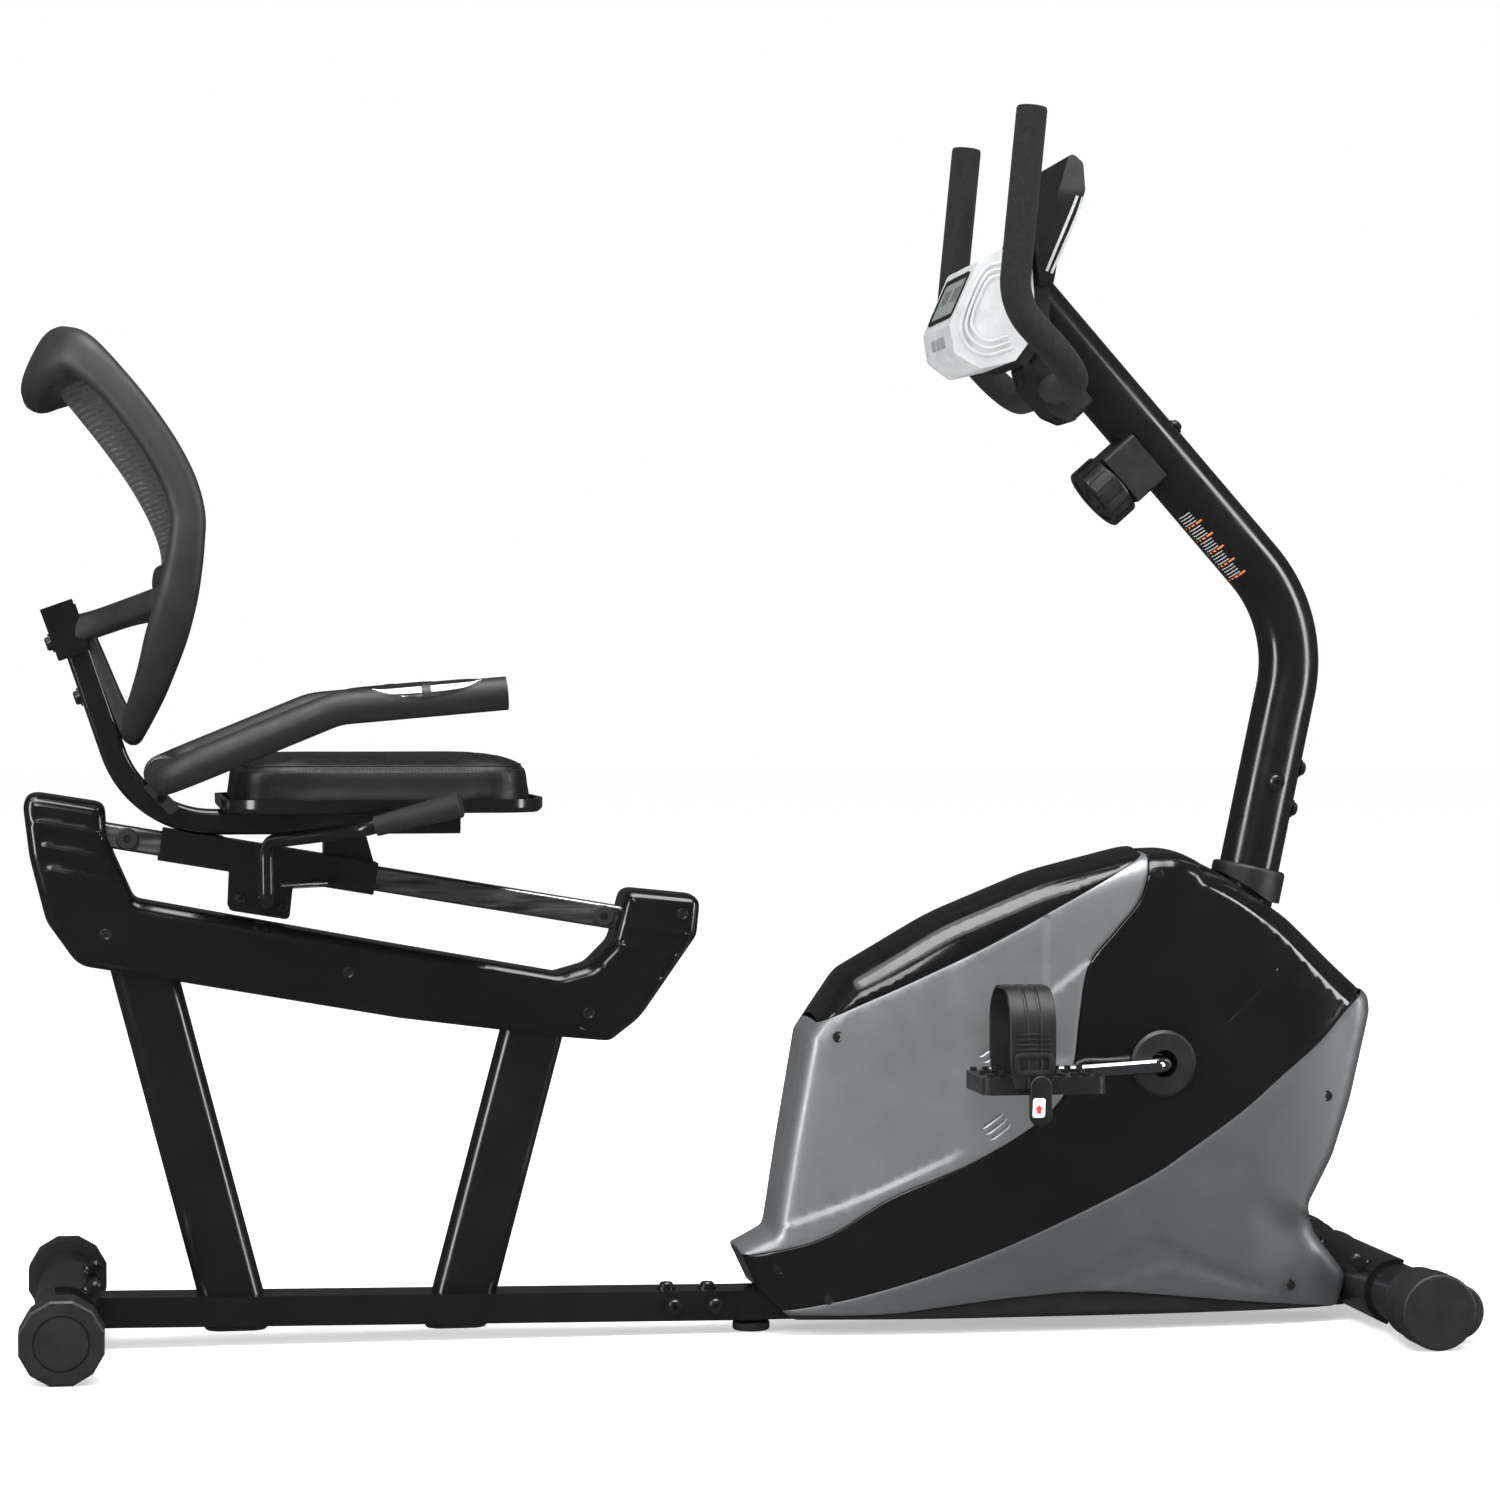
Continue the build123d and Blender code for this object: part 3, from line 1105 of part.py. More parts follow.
def tension_housing():
    block = upper_plane(-31, 36) * Box(57, 40, 68)
    block = fillet(block.edges().filter_by(Axis(upper(0, 0), (-UPPER[1], 0, UPPER[0]))), 4.0)
    block -= rod(upper(-70, 0), upper(10, 0), MAST_R + 0.25)
    return block - rod(upper(-31, 28), upper(-31, 60), 6.05)


def tension_knob():
    """Ribbed dial on the tension housing."""
    knob = rod(upper(-31, 57), upper(-31, 85), 35.0)
    knob = fillet(knob.edges().filter_by(GeomType.CIRCLE), 2.5)
    for i in range(18):
        spin = Rot(0, 0, 20 * i)
        plane = Plane(origin=upper(-31, 71), z_dir=(-UPPER[1], 0, UPPER[0]))
        knob -= plane * spin * Pos(36.0, 0, 3) * Box(4.5, 4.0, 24)
    knob -= rod(upper(-31, 83), upper(-31, 90), 27.0, 15.0)
    knob -= rod(upper(-31, 84), upper(-31, 90), 11.0)
    return knob + rod(upper(-31, 40), upper(-31, 60), 6.0)


# ---- write the nodes ----------------------------------------------------------------------------
def write_frame():
    rear_seats, front_seats = stab_bolt_seats()
    rear_tube = stabilizer(REAR_STAB_X, REAR_STAB_Z, REAR_HALF - 7, rear_seats)
    front_tube = stabilizer(FRONT_STAB_X, FRONT_STAB_Z, FRONT_HALF - 66.1, front_seats)
    save("base_beam", base_beam())
    save("front_beam", front_beam())
    save("levelling_foot", levelling_foot())
    save("stabilizer_tubes", rear_tube, front_tube)
    save("rear_end_caps", *both_sides(rear_end_cap()))
    save("front_end_caps", *both_sides(front_end_cap()))
    save("transport_wheel_right", transport_wheel())
    save("transport_wheel_left", mirror(transport_wheel(), about=Plane.XZ))
    bolts = stabilizer_bolts() + beam_joint_bolts() + mast_bolts() + both_sides(wheel_axle())
    save("frame_fasteners", *bolts, *cover_screws(), *shroud_screws())
    save("rubber_buffers", *beam_pads(), *rail_bumpers())


def write_rail():
    posts = [post(REAR_POST_X, -POST_LEAN), post(FRONT_POST_X, POST_LEAN)]
    save("rail_carrier", rail_carrier())
    save("rail_posts", *posts)
    save("seat_rail", seat_rail())
    save("rail_covers", *rail_covers())


def write_seat():
    strap, ears = bar_clamp()
    save("seat_frame", seat_frame())
    save("seat_carriage", seat_carriage())
    save("seat_inserts", *guide_pads(), *bar_end_plugs())
    save("seat_pan", seat_pan())
    save("seat_cushion", seat_cushion())
    save("seat_handlebar", seat_handlebar())
    save("bar_clamp", strap, *ears)
    save("pulse_sensors", *pulse_sensors())
    save("backrest_frame", backrest_frame())
    save("backrest_mesh", backrest_mesh())
    save("seat_bolts", *seat_bolts())
    save("seat_lever", seat_lever())
    save("lever_grip", lever_grip())
    save("lever_spring", lever_spring())


def write_pod():
    cover, silver, grey, black = pod_panels()
    shroud = biggest(black)
    save("top_cover", biggest(cover))
    save("rear_panels", *both_sides(biggest(silver)))
    save("lower_panels", *both_sides(biggest(grey)))
    save("shroud_right", shroud)
    save("shroud_left", mirror(shroud, about=Plane.XZ))
    save("pod_trims", biggest(mast_boot()), *crank_rings())


def write_drive():
    save("drive_bearings", *crank_bearings(), flywheel_axle())
    save("crank", crank())
    save("drive_pulley", drive_pulley())
    save("drive_belt", drive_belt())
    save("flywheel", flywheel())
    save("drive_brackets", *flywheel_brackets(), magnet_bracket())
    save("magnet_carrier", magnet_carrier())
    pedals = {name: pedal_parts(side) for name, side in (("right", -1), ("left", 1))}
    for name, (body, _, strap) in pedals.items():
        save(f"pedal_{name}", body)
        save(f"pedal_strap_{name}", strap)
    save("pedal_spindles", *[spindle for _, spindle, _ in pedals.values()])


def write_mast():
    save("mast_post", mast_post(), bottom_bracket())
    save("mast", mast())
    save("handlebar_clamp", clamp_saddle(), clamp_cap(), *clamp_screws())
    save("handlebar", handlebar())
    save("handlebar_grips", *handlebar_grips(), *grip_caps())
    save("console_housing", console_housing())
    save("console_back", console_back())
    save("console_screen", console_screen())
    for name, y in zip(("mode", "set", "reset"), KEYS):
        save(f"key_{name}", console_key(y))
    save("tablet_holder", tablet_holder())
    save("tension_housing", tension_housing())
    save("tension_knob", tension_knob())


write_frame()
write_rail()
write_seat()
write_pod()
write_drive()
write_mast()
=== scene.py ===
"""Looks of a recumbent exercise bike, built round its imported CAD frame.

The frame is in metres, +X forwards, +Y to the rider's left, +Z up. Shapes below are written in
millimetres and turned into metres where a mesh is made.
"""
import json
import math
from collections import Counter

import bmesh
import bpy
import numpy as np
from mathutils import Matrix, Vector
from mathutils.bvhtree import BVHTree
from mathutils.geometry import delaunay_2d_cdt


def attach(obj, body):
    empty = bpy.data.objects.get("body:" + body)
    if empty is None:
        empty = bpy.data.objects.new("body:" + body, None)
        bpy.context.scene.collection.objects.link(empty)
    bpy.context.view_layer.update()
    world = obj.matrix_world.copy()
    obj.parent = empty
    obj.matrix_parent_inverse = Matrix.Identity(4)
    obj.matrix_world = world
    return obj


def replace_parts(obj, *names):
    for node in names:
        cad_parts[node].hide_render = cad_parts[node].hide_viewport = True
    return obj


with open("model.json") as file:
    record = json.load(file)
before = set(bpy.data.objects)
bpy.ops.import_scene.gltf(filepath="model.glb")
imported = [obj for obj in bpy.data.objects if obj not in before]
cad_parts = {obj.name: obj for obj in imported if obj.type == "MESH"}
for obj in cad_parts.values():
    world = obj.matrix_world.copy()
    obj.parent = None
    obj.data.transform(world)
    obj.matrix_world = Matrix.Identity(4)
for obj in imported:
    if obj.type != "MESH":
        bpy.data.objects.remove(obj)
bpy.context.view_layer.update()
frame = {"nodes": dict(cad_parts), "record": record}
NODES = frame["nodes"]
MM = 0.001
SIDES = ((-1, "right"), (1, "left"))
CRANK_X, CRANK_Z = 420, 273
RING_R = 31


def linked(name, data):
    """New object, linked into the scene."""
    obj = bpy.data.objects.new(name, data)
    bpy.context.scene.collection.objects.link(obj)
    return obj


# ---- camera, floor and light ---------------------------------------------------------------------
def make_camera():
    data = bpy.data.cameras.new("camera")
    data.lens = 92.16
    data.sensor_width = 36.0
    camera = linked("camera", data)
    camera.location = (-0.6223, -3.8670, 0.643)
    camera.rotation_euler = (math.radians(89.25), 0, math.radians(-9.25))
    bpy.context.scene.camera = camera


def area_light(name, place, aim, width, height, watts):
    data = bpy.data.lights.new(name, "AREA")
    data.shape = "RECTANGLE"
    data.size, data.size_y = width, height
    data.energy = watts
    lamp = linked(name, data)
    lamp.location = place
    lamp.rotation_mode = "QUATERNION"
    lamp.rotation_quaternion = (Vector(aim) - Vector(place)).to_track_quat("-Z", "Y")


def make_lights():
    area_light("key_overhead", (0.1, -0.9, 3.2), (0, 0, 0.5), 3.0, 1.6, 90)
    area_light("strip_right", (2.9, -1.4, 1.2), (0.3, 0, 0.5), 0.7, 2.6, 60)
    area_light("strip_left", (-2.9, -1.3, 1.2), (-0.3, 0, 0.5), 0.7, 2.6, 60)
    area_light("front_soft", (-1.3, -3.9, 2.4), (0, 0, 0.45), 1.6, 1.2, 45)
    area_light("back_soft", (0.2, 3.4, 2.0), (0, 0, 0.5), 3.0, 1.4, 60)
    sun = bpy.data.lights.new("broad_sun", "SUN")
    sun.energy = 1.9
    sun.angle = math.radians(60)
    bpy.data.objects["back_soft"].visible_glossy = False
    linked("broad_sun", sun).rotation_euler = (math.radians(14), math.radians(-8), 0)


def make_world():
    """Soft grey surroundings that look plain white behind the object."""
    world = bpy.data.worlds.new("studio")
    bpy.context.scene.world = world
    world.use_nodes = True
    tree = world.node_tree
    tree.nodes.clear()
    seen = tree.nodes.new("ShaderNodeBackground")
    seen.inputs["Color"].default_value = (1, 1, 1, 1)
    around = tree.nodes.new("ShaderNodeBackground")
    around.inputs["Color"].default_value = (0.055, 0.056, 0.058, 1)
    path = tree.nodes.new("ShaderNodeLightPath")
    mix = tree.nodes.new("ShaderNodeMixShader")
    out = tree.nodes.new("ShaderNodeOutputWorld")
    tree.links.new(path.outputs["Is Camera Ray"], mix.inputs[0])
    tree.links.new(around.outputs[0], mix.inputs[1])
    tree.links.new(seen.outputs[0], mix.inputs[2])
    tree.links.new(mix.outputs[0], out.inputs["Surface"])


def make_floor():
    half, level = 30.0, -0.0006
    mesh = bpy.data.meshes.new("floor")
    corners = [(half * x, half * y, level) for x, y in ((-1, -1), (1, -1), (1, 1), (-1, 1))]
    mesh.from_pydata(corners, [], [(0, 1, 2, 3)])
    floor = linked("floor", mesh)
    mat = bpy.data.materials.new("floor_paint")
    mat.use_nodes = True
    shader = mat.node_tree.nodes["Principled BSDF"]
    shader.inputs["Base Color"].default_value = (0.93, 0.93, 0.93, 1)
    shader.inputs["Roughness"].default_value = 0.75
    shader.inputs["Emission Color"].default_value = (1, 1, 1, 1)
    shader.inputs["Emission Strength"].default_value = 0.45
    mesh.materials.append(mat)
    floor.visible_glossy = False


# ---- materials -----------------------------------------------------------------------------------
class Look:
    """One procedural finish: a Principled surface fed by 3-D noise in the frame's own metres."""

    def __init__(self, name, colour, rough, metal=0.0, coat=0.0, coat_rough=0.06, sheen=0.0, specular=0.5):
        self.name = name
        self.mat = bpy.data.materials.new(name)
        self.mat.use_nodes = True
        self.tree = self.mat.node_tree
        self.shader = self.tree.nodes["Principled BSDF"]
        self.colour = colour
        values = {"Base Color": (*colour, 1), "Roughness": rough, "Metallic": metal, "Coat Weight": coat,
                  "Coat Roughness": coat_rough, "Sheen Weight": sheen, "Specular IOR Level": specular}
        for socket, value in values.items():
            self.shader.inputs[socket].default_value = value
        self.coord = self.tree.nodes.new("ShaderNodeTexCoord").outputs["Object"]
        self.last_bump = None

    def node(self, kind, **inputs):
        made = self.tree.nodes.new(kind)
        for socket, value in inputs.items():
            socket = socket.replace("_", " ")
            if isinstance(value, bpy.types.NodeSocket):
                self.tree.links.new(value, made.inputs[socket])
            else:
                made.inputs[socket].default_value = value
        return made

    def placed(self, stretch=(1, 1, 1), turn=(0, 0, 0)):
        mapping = self.node("ShaderNodeMapping", Vector=self.coord)
        mapping.inputs["Scale"].default_value = stretch
        mapping.inputs["Rotation"].default_value = turn
        return mapping.outputs[0]

    def noise(self, size_mm, detail=3.0, stretch=(1, 1, 1), turn=(0, 0, 0)):
        place = self.placed(stretch, turn)
        made = self.node("ShaderNodeTexNoise", Vector=place, Scale=1000.0 / size_mm, Detail=detail)
        return made.outputs["Fac"]

    def cells(self, size_mm, feature="F1"):
        made = self.node("ShaderNodeTexVoronoi", Vector=self.placed(), Scale=1000.0 / size_mm)
        made.feature = feature
        return made.outputs["Distance"]

    def ramp(self, value, low, high, start=0.0, end=1.0):
        """Start where the value is below low, end where it is above high."""
        spans = {"From_Min": low, "From_Max": high, "To_Min": start, "To_Max": end}
        return self.node("ShaderNodeMapRange", Value=value, **spans).outputs["Result"]

    def times(self, a, b):
        made = self.node("ShaderNodeMath")
        made.operation = "MULTIPLY"
        for i, value in enumerate((a, b)):
            self.tree.links.new(value, made.inputs[i])
        return made.outputs[0]

    def blend(self, mask, other):
        """Colour goes from the present one to another where the mask is 1."""
        mix = self.tree.nodes.new("ShaderNodeMix")
        mix.data_type = "RGBA"
        self.tree.links.new(mask, mix.inputs["Factor"])
        base = self.shader.inputs["Base Color"]
        if base.is_linked:
            self.tree.links.new(base.links[0].from_socket, mix.inputs["A"])
        else:
            mix.inputs["A"].default_value = base.default_value
        mix.inputs["B"].default_value = (*other, 1)
        self.tree.links.new(mix.outputs["Result"], base)
        return self

    def mottle(self, size_mm, spread, detail=3.0):
        """Slow colour variation, lighter and darker than the base by the spread."""
        value = self.ramp(self.noise(size_mm, detail), 0.3, 0.7)
        light = tuple(min(1.0, c * (1 + spread)) for c in self.colour)
        dark = tuple(c * (1 - spread) for c in self.colour)
        self.shader.inputs["Base Color"].default_value = (*dark, 1)
        return self.blend(value, light)

    def roughness(self, size_mm, low, high, detail=4.0, stretch=(1, 1, 1), turn=(0, 0, 0)):
        value = self.ramp(self.noise(size_mm, detail, stretch, turn), 0.3, 0.7, low, high)
        self.tree.links.new(value, self.shader.inputs["Roughness"])
        return self

    def relief(self, height, depth_mm, strength):
        bump = self.node("ShaderNodeBump", Strength=strength, Distance=depth_mm * MM, Height=height)
        if self.last_bump is not None:
            self.tree.links.new(self.last_bump, bump.inputs["Normal"])
        self.last_bump = bump.outputs[0]
        self.tree.links.new(self.last_bump, self.shader.inputs["Normal"])
        return self


def gloss_paint(name, colour, rough=0.16):
    look = Look(name, colour, rough, coat=0.2, coat_rough=0.05)
    look.mottle(60, 0.12).roughness(35, rough - 0.04, rough + 0.08)
    look.relief(look.noise(12, 1), 0.012, 0.3)
    return look


def moulded(name, colour, rough=0.5, grain_mm=0.7, depth_mm=0.06, coat=0.0, specular=0.5):
    look = Look(name, colour, rough, coat=coat, coat_rough=0.2, specular=specular)
    look.mottle(25, 0.14).roughness(18, rough - 0.06, rough + 0.08)
    look.relief(look.cells(grain_mm, "SMOOTH_F1"), depth_mm, 0.6)
    return look


def metallic_panel(name, colour, rough):
    look = Look(name, colour, rough, metal=0.72, coat=0.25, coat_rough=0.22)
    look.mottle(0.5, 0.10, 1.0).roughness(30, rough - 0.03, rough + 0.05)
    look.relief(look.noise(0.6, 2), 0.02, 0.4)
    return look


def bright_steel():
    look = Look("bright_steel", (0.50, 0.50, 0.51), 0.24, metal=1.0)
    look.roughness(7, 0.14, 0.42, 5.0, (0.12, 1, 1), (0, 0.168, 0))
    streaks = look.ramp(look.noise(9, 6, (0.15, 1, 1), (0, 0.168, 0)), 0.45, 0.72)
    look.blend(streaks, (0.17, 0.165, 0.16))
    look.relief(look.noise(0.8, 3, (0.05, 1, 1), (0, 0.168, 0)), 0.02, 0.5)
    return look


def chrome():
    look = Look("chrome", (0.62, 0.63, 0.64), 0.07, metal=1.0)
    look.roughness(14, 0.04, 0.13)
    look.relief(look.noise(5, 2), 0.015, 0.4)
    return look


def machined_iron():
    look = Look("flywheel_iron", (0.24, 0.24, 0.25), 0.42, metal=0.9)
    look.mottle(12, 0.3).roughness(6, 0.3, 0.55)
    look.relief(look.noise(1.4, 4), 0.05, 0.6)
    return look


def foam_grip():
    look = Look("grip_foam", (0.0085, 0.0085, 0.0088), 0.8, sheen=0.03, specular=0.35)
    look.mottle(5, 0.25).roughness(3, 0.78, 0.95)
    look.relief(look.cells(0.9), 0.16, 0.8).relief(look.noise(0.5, 3), 0.05, 0.5)
    return look


def black_leather():
    look = Look("cushion_leather", (0.0058, 0.0058, 0.0061), 0.46, specular=0.35)
    look.mottle(30, 0.2).roughness(8, 0.36, 0.54)
    creases = look.cells(2.1, "DISTANCE_TO_EDGE")
    look.relief(look.ramp(creases, 0.0, 0.22), 0.09, 0.55)
    look.relief(look.noise(0.6, 3), 0.04, 0.5).relief(look.noise(28, 3), 0.5, 0.35)
    return look


def woven_mesh():
    """Open knit: threads crossing every 2.4 mm, with see-through holes between them."""
    look = Look("mesh_fabric", (0.012, 0.012, 0.013), 0.8, sheen=0.08)
    look.mottle(9, 0.25)
    pitch = 2.4
    waves = []
    for direction in "YZ":
        scale = 1000.0 / pitch / 20.0 * math.pi
        wave = look.node("ShaderNodeTexWave", Vector=look.coord, Scale=scale, Distortion=0.4)
        wave.bands_direction = direction
        waves.append(wave.outputs["Fac"])
    hole = look.times(look.ramp(waves[0], 0.45, 0.6), look.ramp(waves[1], 0.45, 0.6))
    look.tree.links.new(look.ramp(hole, 0.0, 1.0, 1.0, 0.5), look.shader.inputs["Alpha"])
    look.relief(waves[0], 0.3, 0.5).relief(waves[1], 0.3, 0.5)
    return look


def lcd_glass():
    look = Look("screen", (0.20, 0.22, 0.21), 0.34, coat=0.05, specular=0.2)
    look.mottle(14, 0.06).relief(look.noise(3, 2), 0.01, 0.3)
    return look


def make_looks():
    looks = [
        gloss_paint("frame_black", (0.0075, 0.0075, 0.008), 0.17),
        gloss_paint("gloss_black", (0.0062, 0.0062, 0.0066), 0.13),
        metallic_panel("silver_panel", (0.30, 0.31, 0.318), 0.42),
        metallic_panel("grey_panel", (0.150, 0.157, 0.162), 0.46),
        moulded("cap_plastic", (0.0115, 0.0118, 0.0125), 0.46),
        gloss_paint("black_zinc", (0.010, 0.010, 0.0105), 0.24),
        moulded("rubber", (0.012, 0.012, 0.0125), 0.62, 0.5, 0.08),
        bright_steel(),
        chrome(),
        moulded("pulley_plastic", (0.03, 0.03, 0.03), 0.5),
        moulded("belt_rubber", (0.012, 0.012, 0.012), 0.7, 0.6, 0.1),
        machined_iron(),
        moulded("pedal_plastic", (0.008, 0.008, 0.0084), 0.42, 0.6, 0.05),
        moulded("strap_plastic", (0.010, 0.010, 0.0105), 0.45, 0.5, 0.05),
        moulded("wheel_plastic", (0.014, 0.014, 0.0145), 0.5),
        foam_grip(),
        moulded("bar_coating", (0.0125, 0.0127, 0.0132), 0.5, 0.45, 0.05),
        moulded("console_silver", (0.44, 0.45, 0.455), 0.42, 0.6, 0.02),
        lcd_glass(),
        moulded("key_plastic", (0.25, 0.26, 0.265), 0.45),
        moulded("holder_plastic", (0.012, 0.0122, 0.0128), 0.5, 0.8, 0.08, specular=0.15),
        moulded("knob_plastic", (0.0125, 0.0125, 0.013), 0.34, 0.6, 0.03, coat=0.3),
        black_leather(),
        moulded("back_plastic", (0.0165, 0.0168, 0.0178), 0.52, 0.7, 0.08),
        woven_mesh(),
    ]
    return {look.name: look.mat for look in looks}


LOOKS = make_looks()


def paint_frame():
    for part in frame["record"]["subparts"]:
        mesh = NODES[part["node"]].data
        mesh.materials.clear()
        mesh.materials.append(LOOKS[part["material_slot"]])


# ---- mesh helpers --------------------------------------------------------------------------------
def piece(name, points, faces, body, slot, sharp_deg=38, look=None):
    """Mesh piece from points in millimetres, smooth except over sharp edges."""
    mesh = bpy.data.meshes.new(name)
    mesh.from_pydata([tuple(c * MM for c in p) for p in points], [], faces)
    tidy = bmesh.new()
    tidy.from_mesh(mesh)
    bmesh.ops.remove_doubles(tidy, verts=tidy.verts, dist=0.00002)
    bmesh.ops.recalc_face_normals(tidy, faces=tidy.faces)
    tidy.to_mesh(mesh)
    tidy.free()
    for polygon in mesh.polygons:
        polygon.use_smooth = True
    mesh.set_sharp_from_angle(angle=math.radians(sharp_deg))
    mesh.materials.append(look or LOOKS[slot])
    obj = linked(name, mesh)
    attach(obj, body)
    return obj


def frame_at(start, end):
    """Rotation that takes local z to the direction from start to end."""
    return (Vector(end) - Vector(start)).to_track_quat("Z", "Y").to_matrix()


def turned(name, start, end, profile, body, slot, sides):
    """Round piece: profile is (radius, distance along the axis from start) pairs, closed at both ends."""
    turn = frame_at(start, end)
    points = []
    for radius, distance in profile:
        for i in range(sides):
            a = 2 * math.pi * i / sides
            local = Vector((radius * math.cos(a), radius * math.sin(a), distance))
            points.append(Vector(start) + turn @ local)
    rows = len(profile)
    return piece(name, points, skin(rows, sides) + end_caps(rows, sides), body, slot)


def end_caps(rows, count):
    """Faces that close the first and the last of the rings."""
    last = (rows - 1) * count
    return [tuple(reversed(range(count))), tuple(range(last, last + count))]


def skin(rows, count, closed=False):
    """Faces between neighbouring rings of equal counts."""
    faces = []
    for r in range(rows if closed else rows - 1):
        n = (r + 1) % rows
        for i in range(count):
            j = (i + 1) % count
            faces.append((r * count + i, r * count + j, n * count + j, n * count + i))
    return faces


def grid_faces(rows, columns):
    """Faces of an open grid of points with one more point than cells each way."""
    corners = [r * (columns + 1) + c for r in range(rows) for c in range(columns)]
    return [(a, a + 1, a + columns + 2, a + columns + 1) for a in corners]


def along(line, i):
    """Direction of an open line at one of its points, not of unit length."""
    return line[min(i + 1, len(line) - 1)] - line[max(i - 1, 0)]


def spline_at(p0, p1, p2, p3, t):
    """Point of the Catmull-Rom span from p1 to p2."""
    return 0.5 * (2 * p1 + (p2 - p0) * t + (2 * p0 - 5 * p1 + 4 * p2 - p3) * t ** 2
                  + (3 * p1 - p0 - 3 * p2 + p3) * t ** 3)


def ribbon(name, sections, body, slot, closed=False, sharp_deg=45):
    """Skin over one ring of points per station; the rings have equal counts."""
    points = [p for ring in sections for p in ring]
    rows, count = len(sections), len(sections[0])
    faces = skin(rows, count, closed) + ([] if closed else end_caps(rows, count))
    return piece(name, points, faces, body, slot, sharp_deg)


def rounded_loop(corners, radii, step=4.0):
    """Closed outline with its corners rounded and its runs divided about every step."""
    count = len(corners)
    points = []
    for i in range(count):
        before, here, after = (Vector(corners[(i + k) % count]) for k in (-1, 0, 1))
        back, ahead = (before - here), (after - here)
        turn = math.pi - back.angle(ahead)
        reach = radii[i] * math.tan(turn / 2)
        limit = 0.49 * min(back.length, ahead.length)
        reach = min(reach, limit)
        start, end = here + back.normalized() * reach, here + ahead.normalized() * reach
        cuts = max(2, int(2 * reach / step))
        for k in range(cuts + 1):
            t = k / cuts
            points.append((1 - t) ** 2 * start + 2 * t * (1 - t) * here + t ** 2 * end)
    return divided(points, step, closed=True)


def divided(points, step, closed=False):
    """The same line with extra points wherever a run is longer than step."""
    made = []
    pairs = list(zip(points, points[1:] + points[:1])) if closed else list(zip(points, points[1:]))
    for a, b in pairs:
        a, b = Vector(a), Vector(b)
        cuts = max(1, int(math.ceil((b - a).length / step)))
        made.extend(a.lerp(b, k / cuts) for k in range(cuts))
    if not closed:
        made.append(Vector(points[-1]))
    return [p for i, p in enumerate(made) if i == 0 or (p - made[i - 1]).length > 0.05]


def smooth_line(points, step=4.0):
    """Open line through the points, rounded by Catmull-Rom spans."""
    pts = [Vector(p) for p in points]
    pts = [2 * pts[0] - pts[1]] + pts + [2 * pts[-1] - pts[-2]]
    made = []
    for p0, p1, p2, p3 in zip(pts, pts[1:], pts[2:], pts[3:]):
        cuts = max(1, int((p2 - p1).length / step))
        for k in range(cuts):
            made.append(spline_at(p0, p1, p2, p3, k / cuts))
    return made + [pts[-2]]


def shifted(line, distance):
    """Open line moved square to itself, to its left when positive."""
    made = []
    for i, p in enumerate(line):
        ahead = along(line, i)
        made.append(p + Vector((-ahead.y, ahead.x)).normalized() * distance)
    return made


def plane_array(points):
    return np.array([tuple(p) for p in points], float)


def distance_to(line, where, closed=False):
    """Distance and side (positive on the left) of many 2-D points from a line, as arrays."""
    a = plane_array(line)
    b = np.roll(a, -1, axis=0) if closed else a[1:]
    a = a if closed else a[:-1]
    best = np.full(len(where), 1e9)
    side = np.ones(len(where))
    for p, q in zip(a, b):
        run = q - p
        t = np.clip(((where - p) @ run) / max(run @ run, 1e-9), 0, 1)
        gap = where - (p + t[:, None] * run)
        d = np.hypot(gap[:, 0], gap[:, 1])
        closer = d < best - 1e-9
        best = np.where(closer, d, best)
        cross = run[0] * (where[:, 1] - p[1]) - run[1] * (where[:, 0] - p[0])
        side = np.where(closer, np.sign(cross), side)
    return best, side


def inside(loop, where):
    """Whether each 2-D point is inside a closed loop, as an array."""
    a = plane_array(loop)
    b = np.roll(a, -1, axis=0)
    result = np.zeros(len(where), bool)
    for (x0, z0), (x1, z1) in zip(a, b):
        crosses = (z0 > where[:, 1]) != (z1 > where[:, 1])
        if z1 != z0:
            at = (x1 - x0) * (where[:, 1] - z0) / (z1 - z0) + x0
            result ^= crosses & (where[:, 0] < at)
    return result


def ease(value, low, high):
    """Smooth step from 0 at low to 1 at high, for numbers and arrays."""
    t = np.clip((value - low) / (high - low), 0, 1)
    return t * t * (3 - 2 * t)


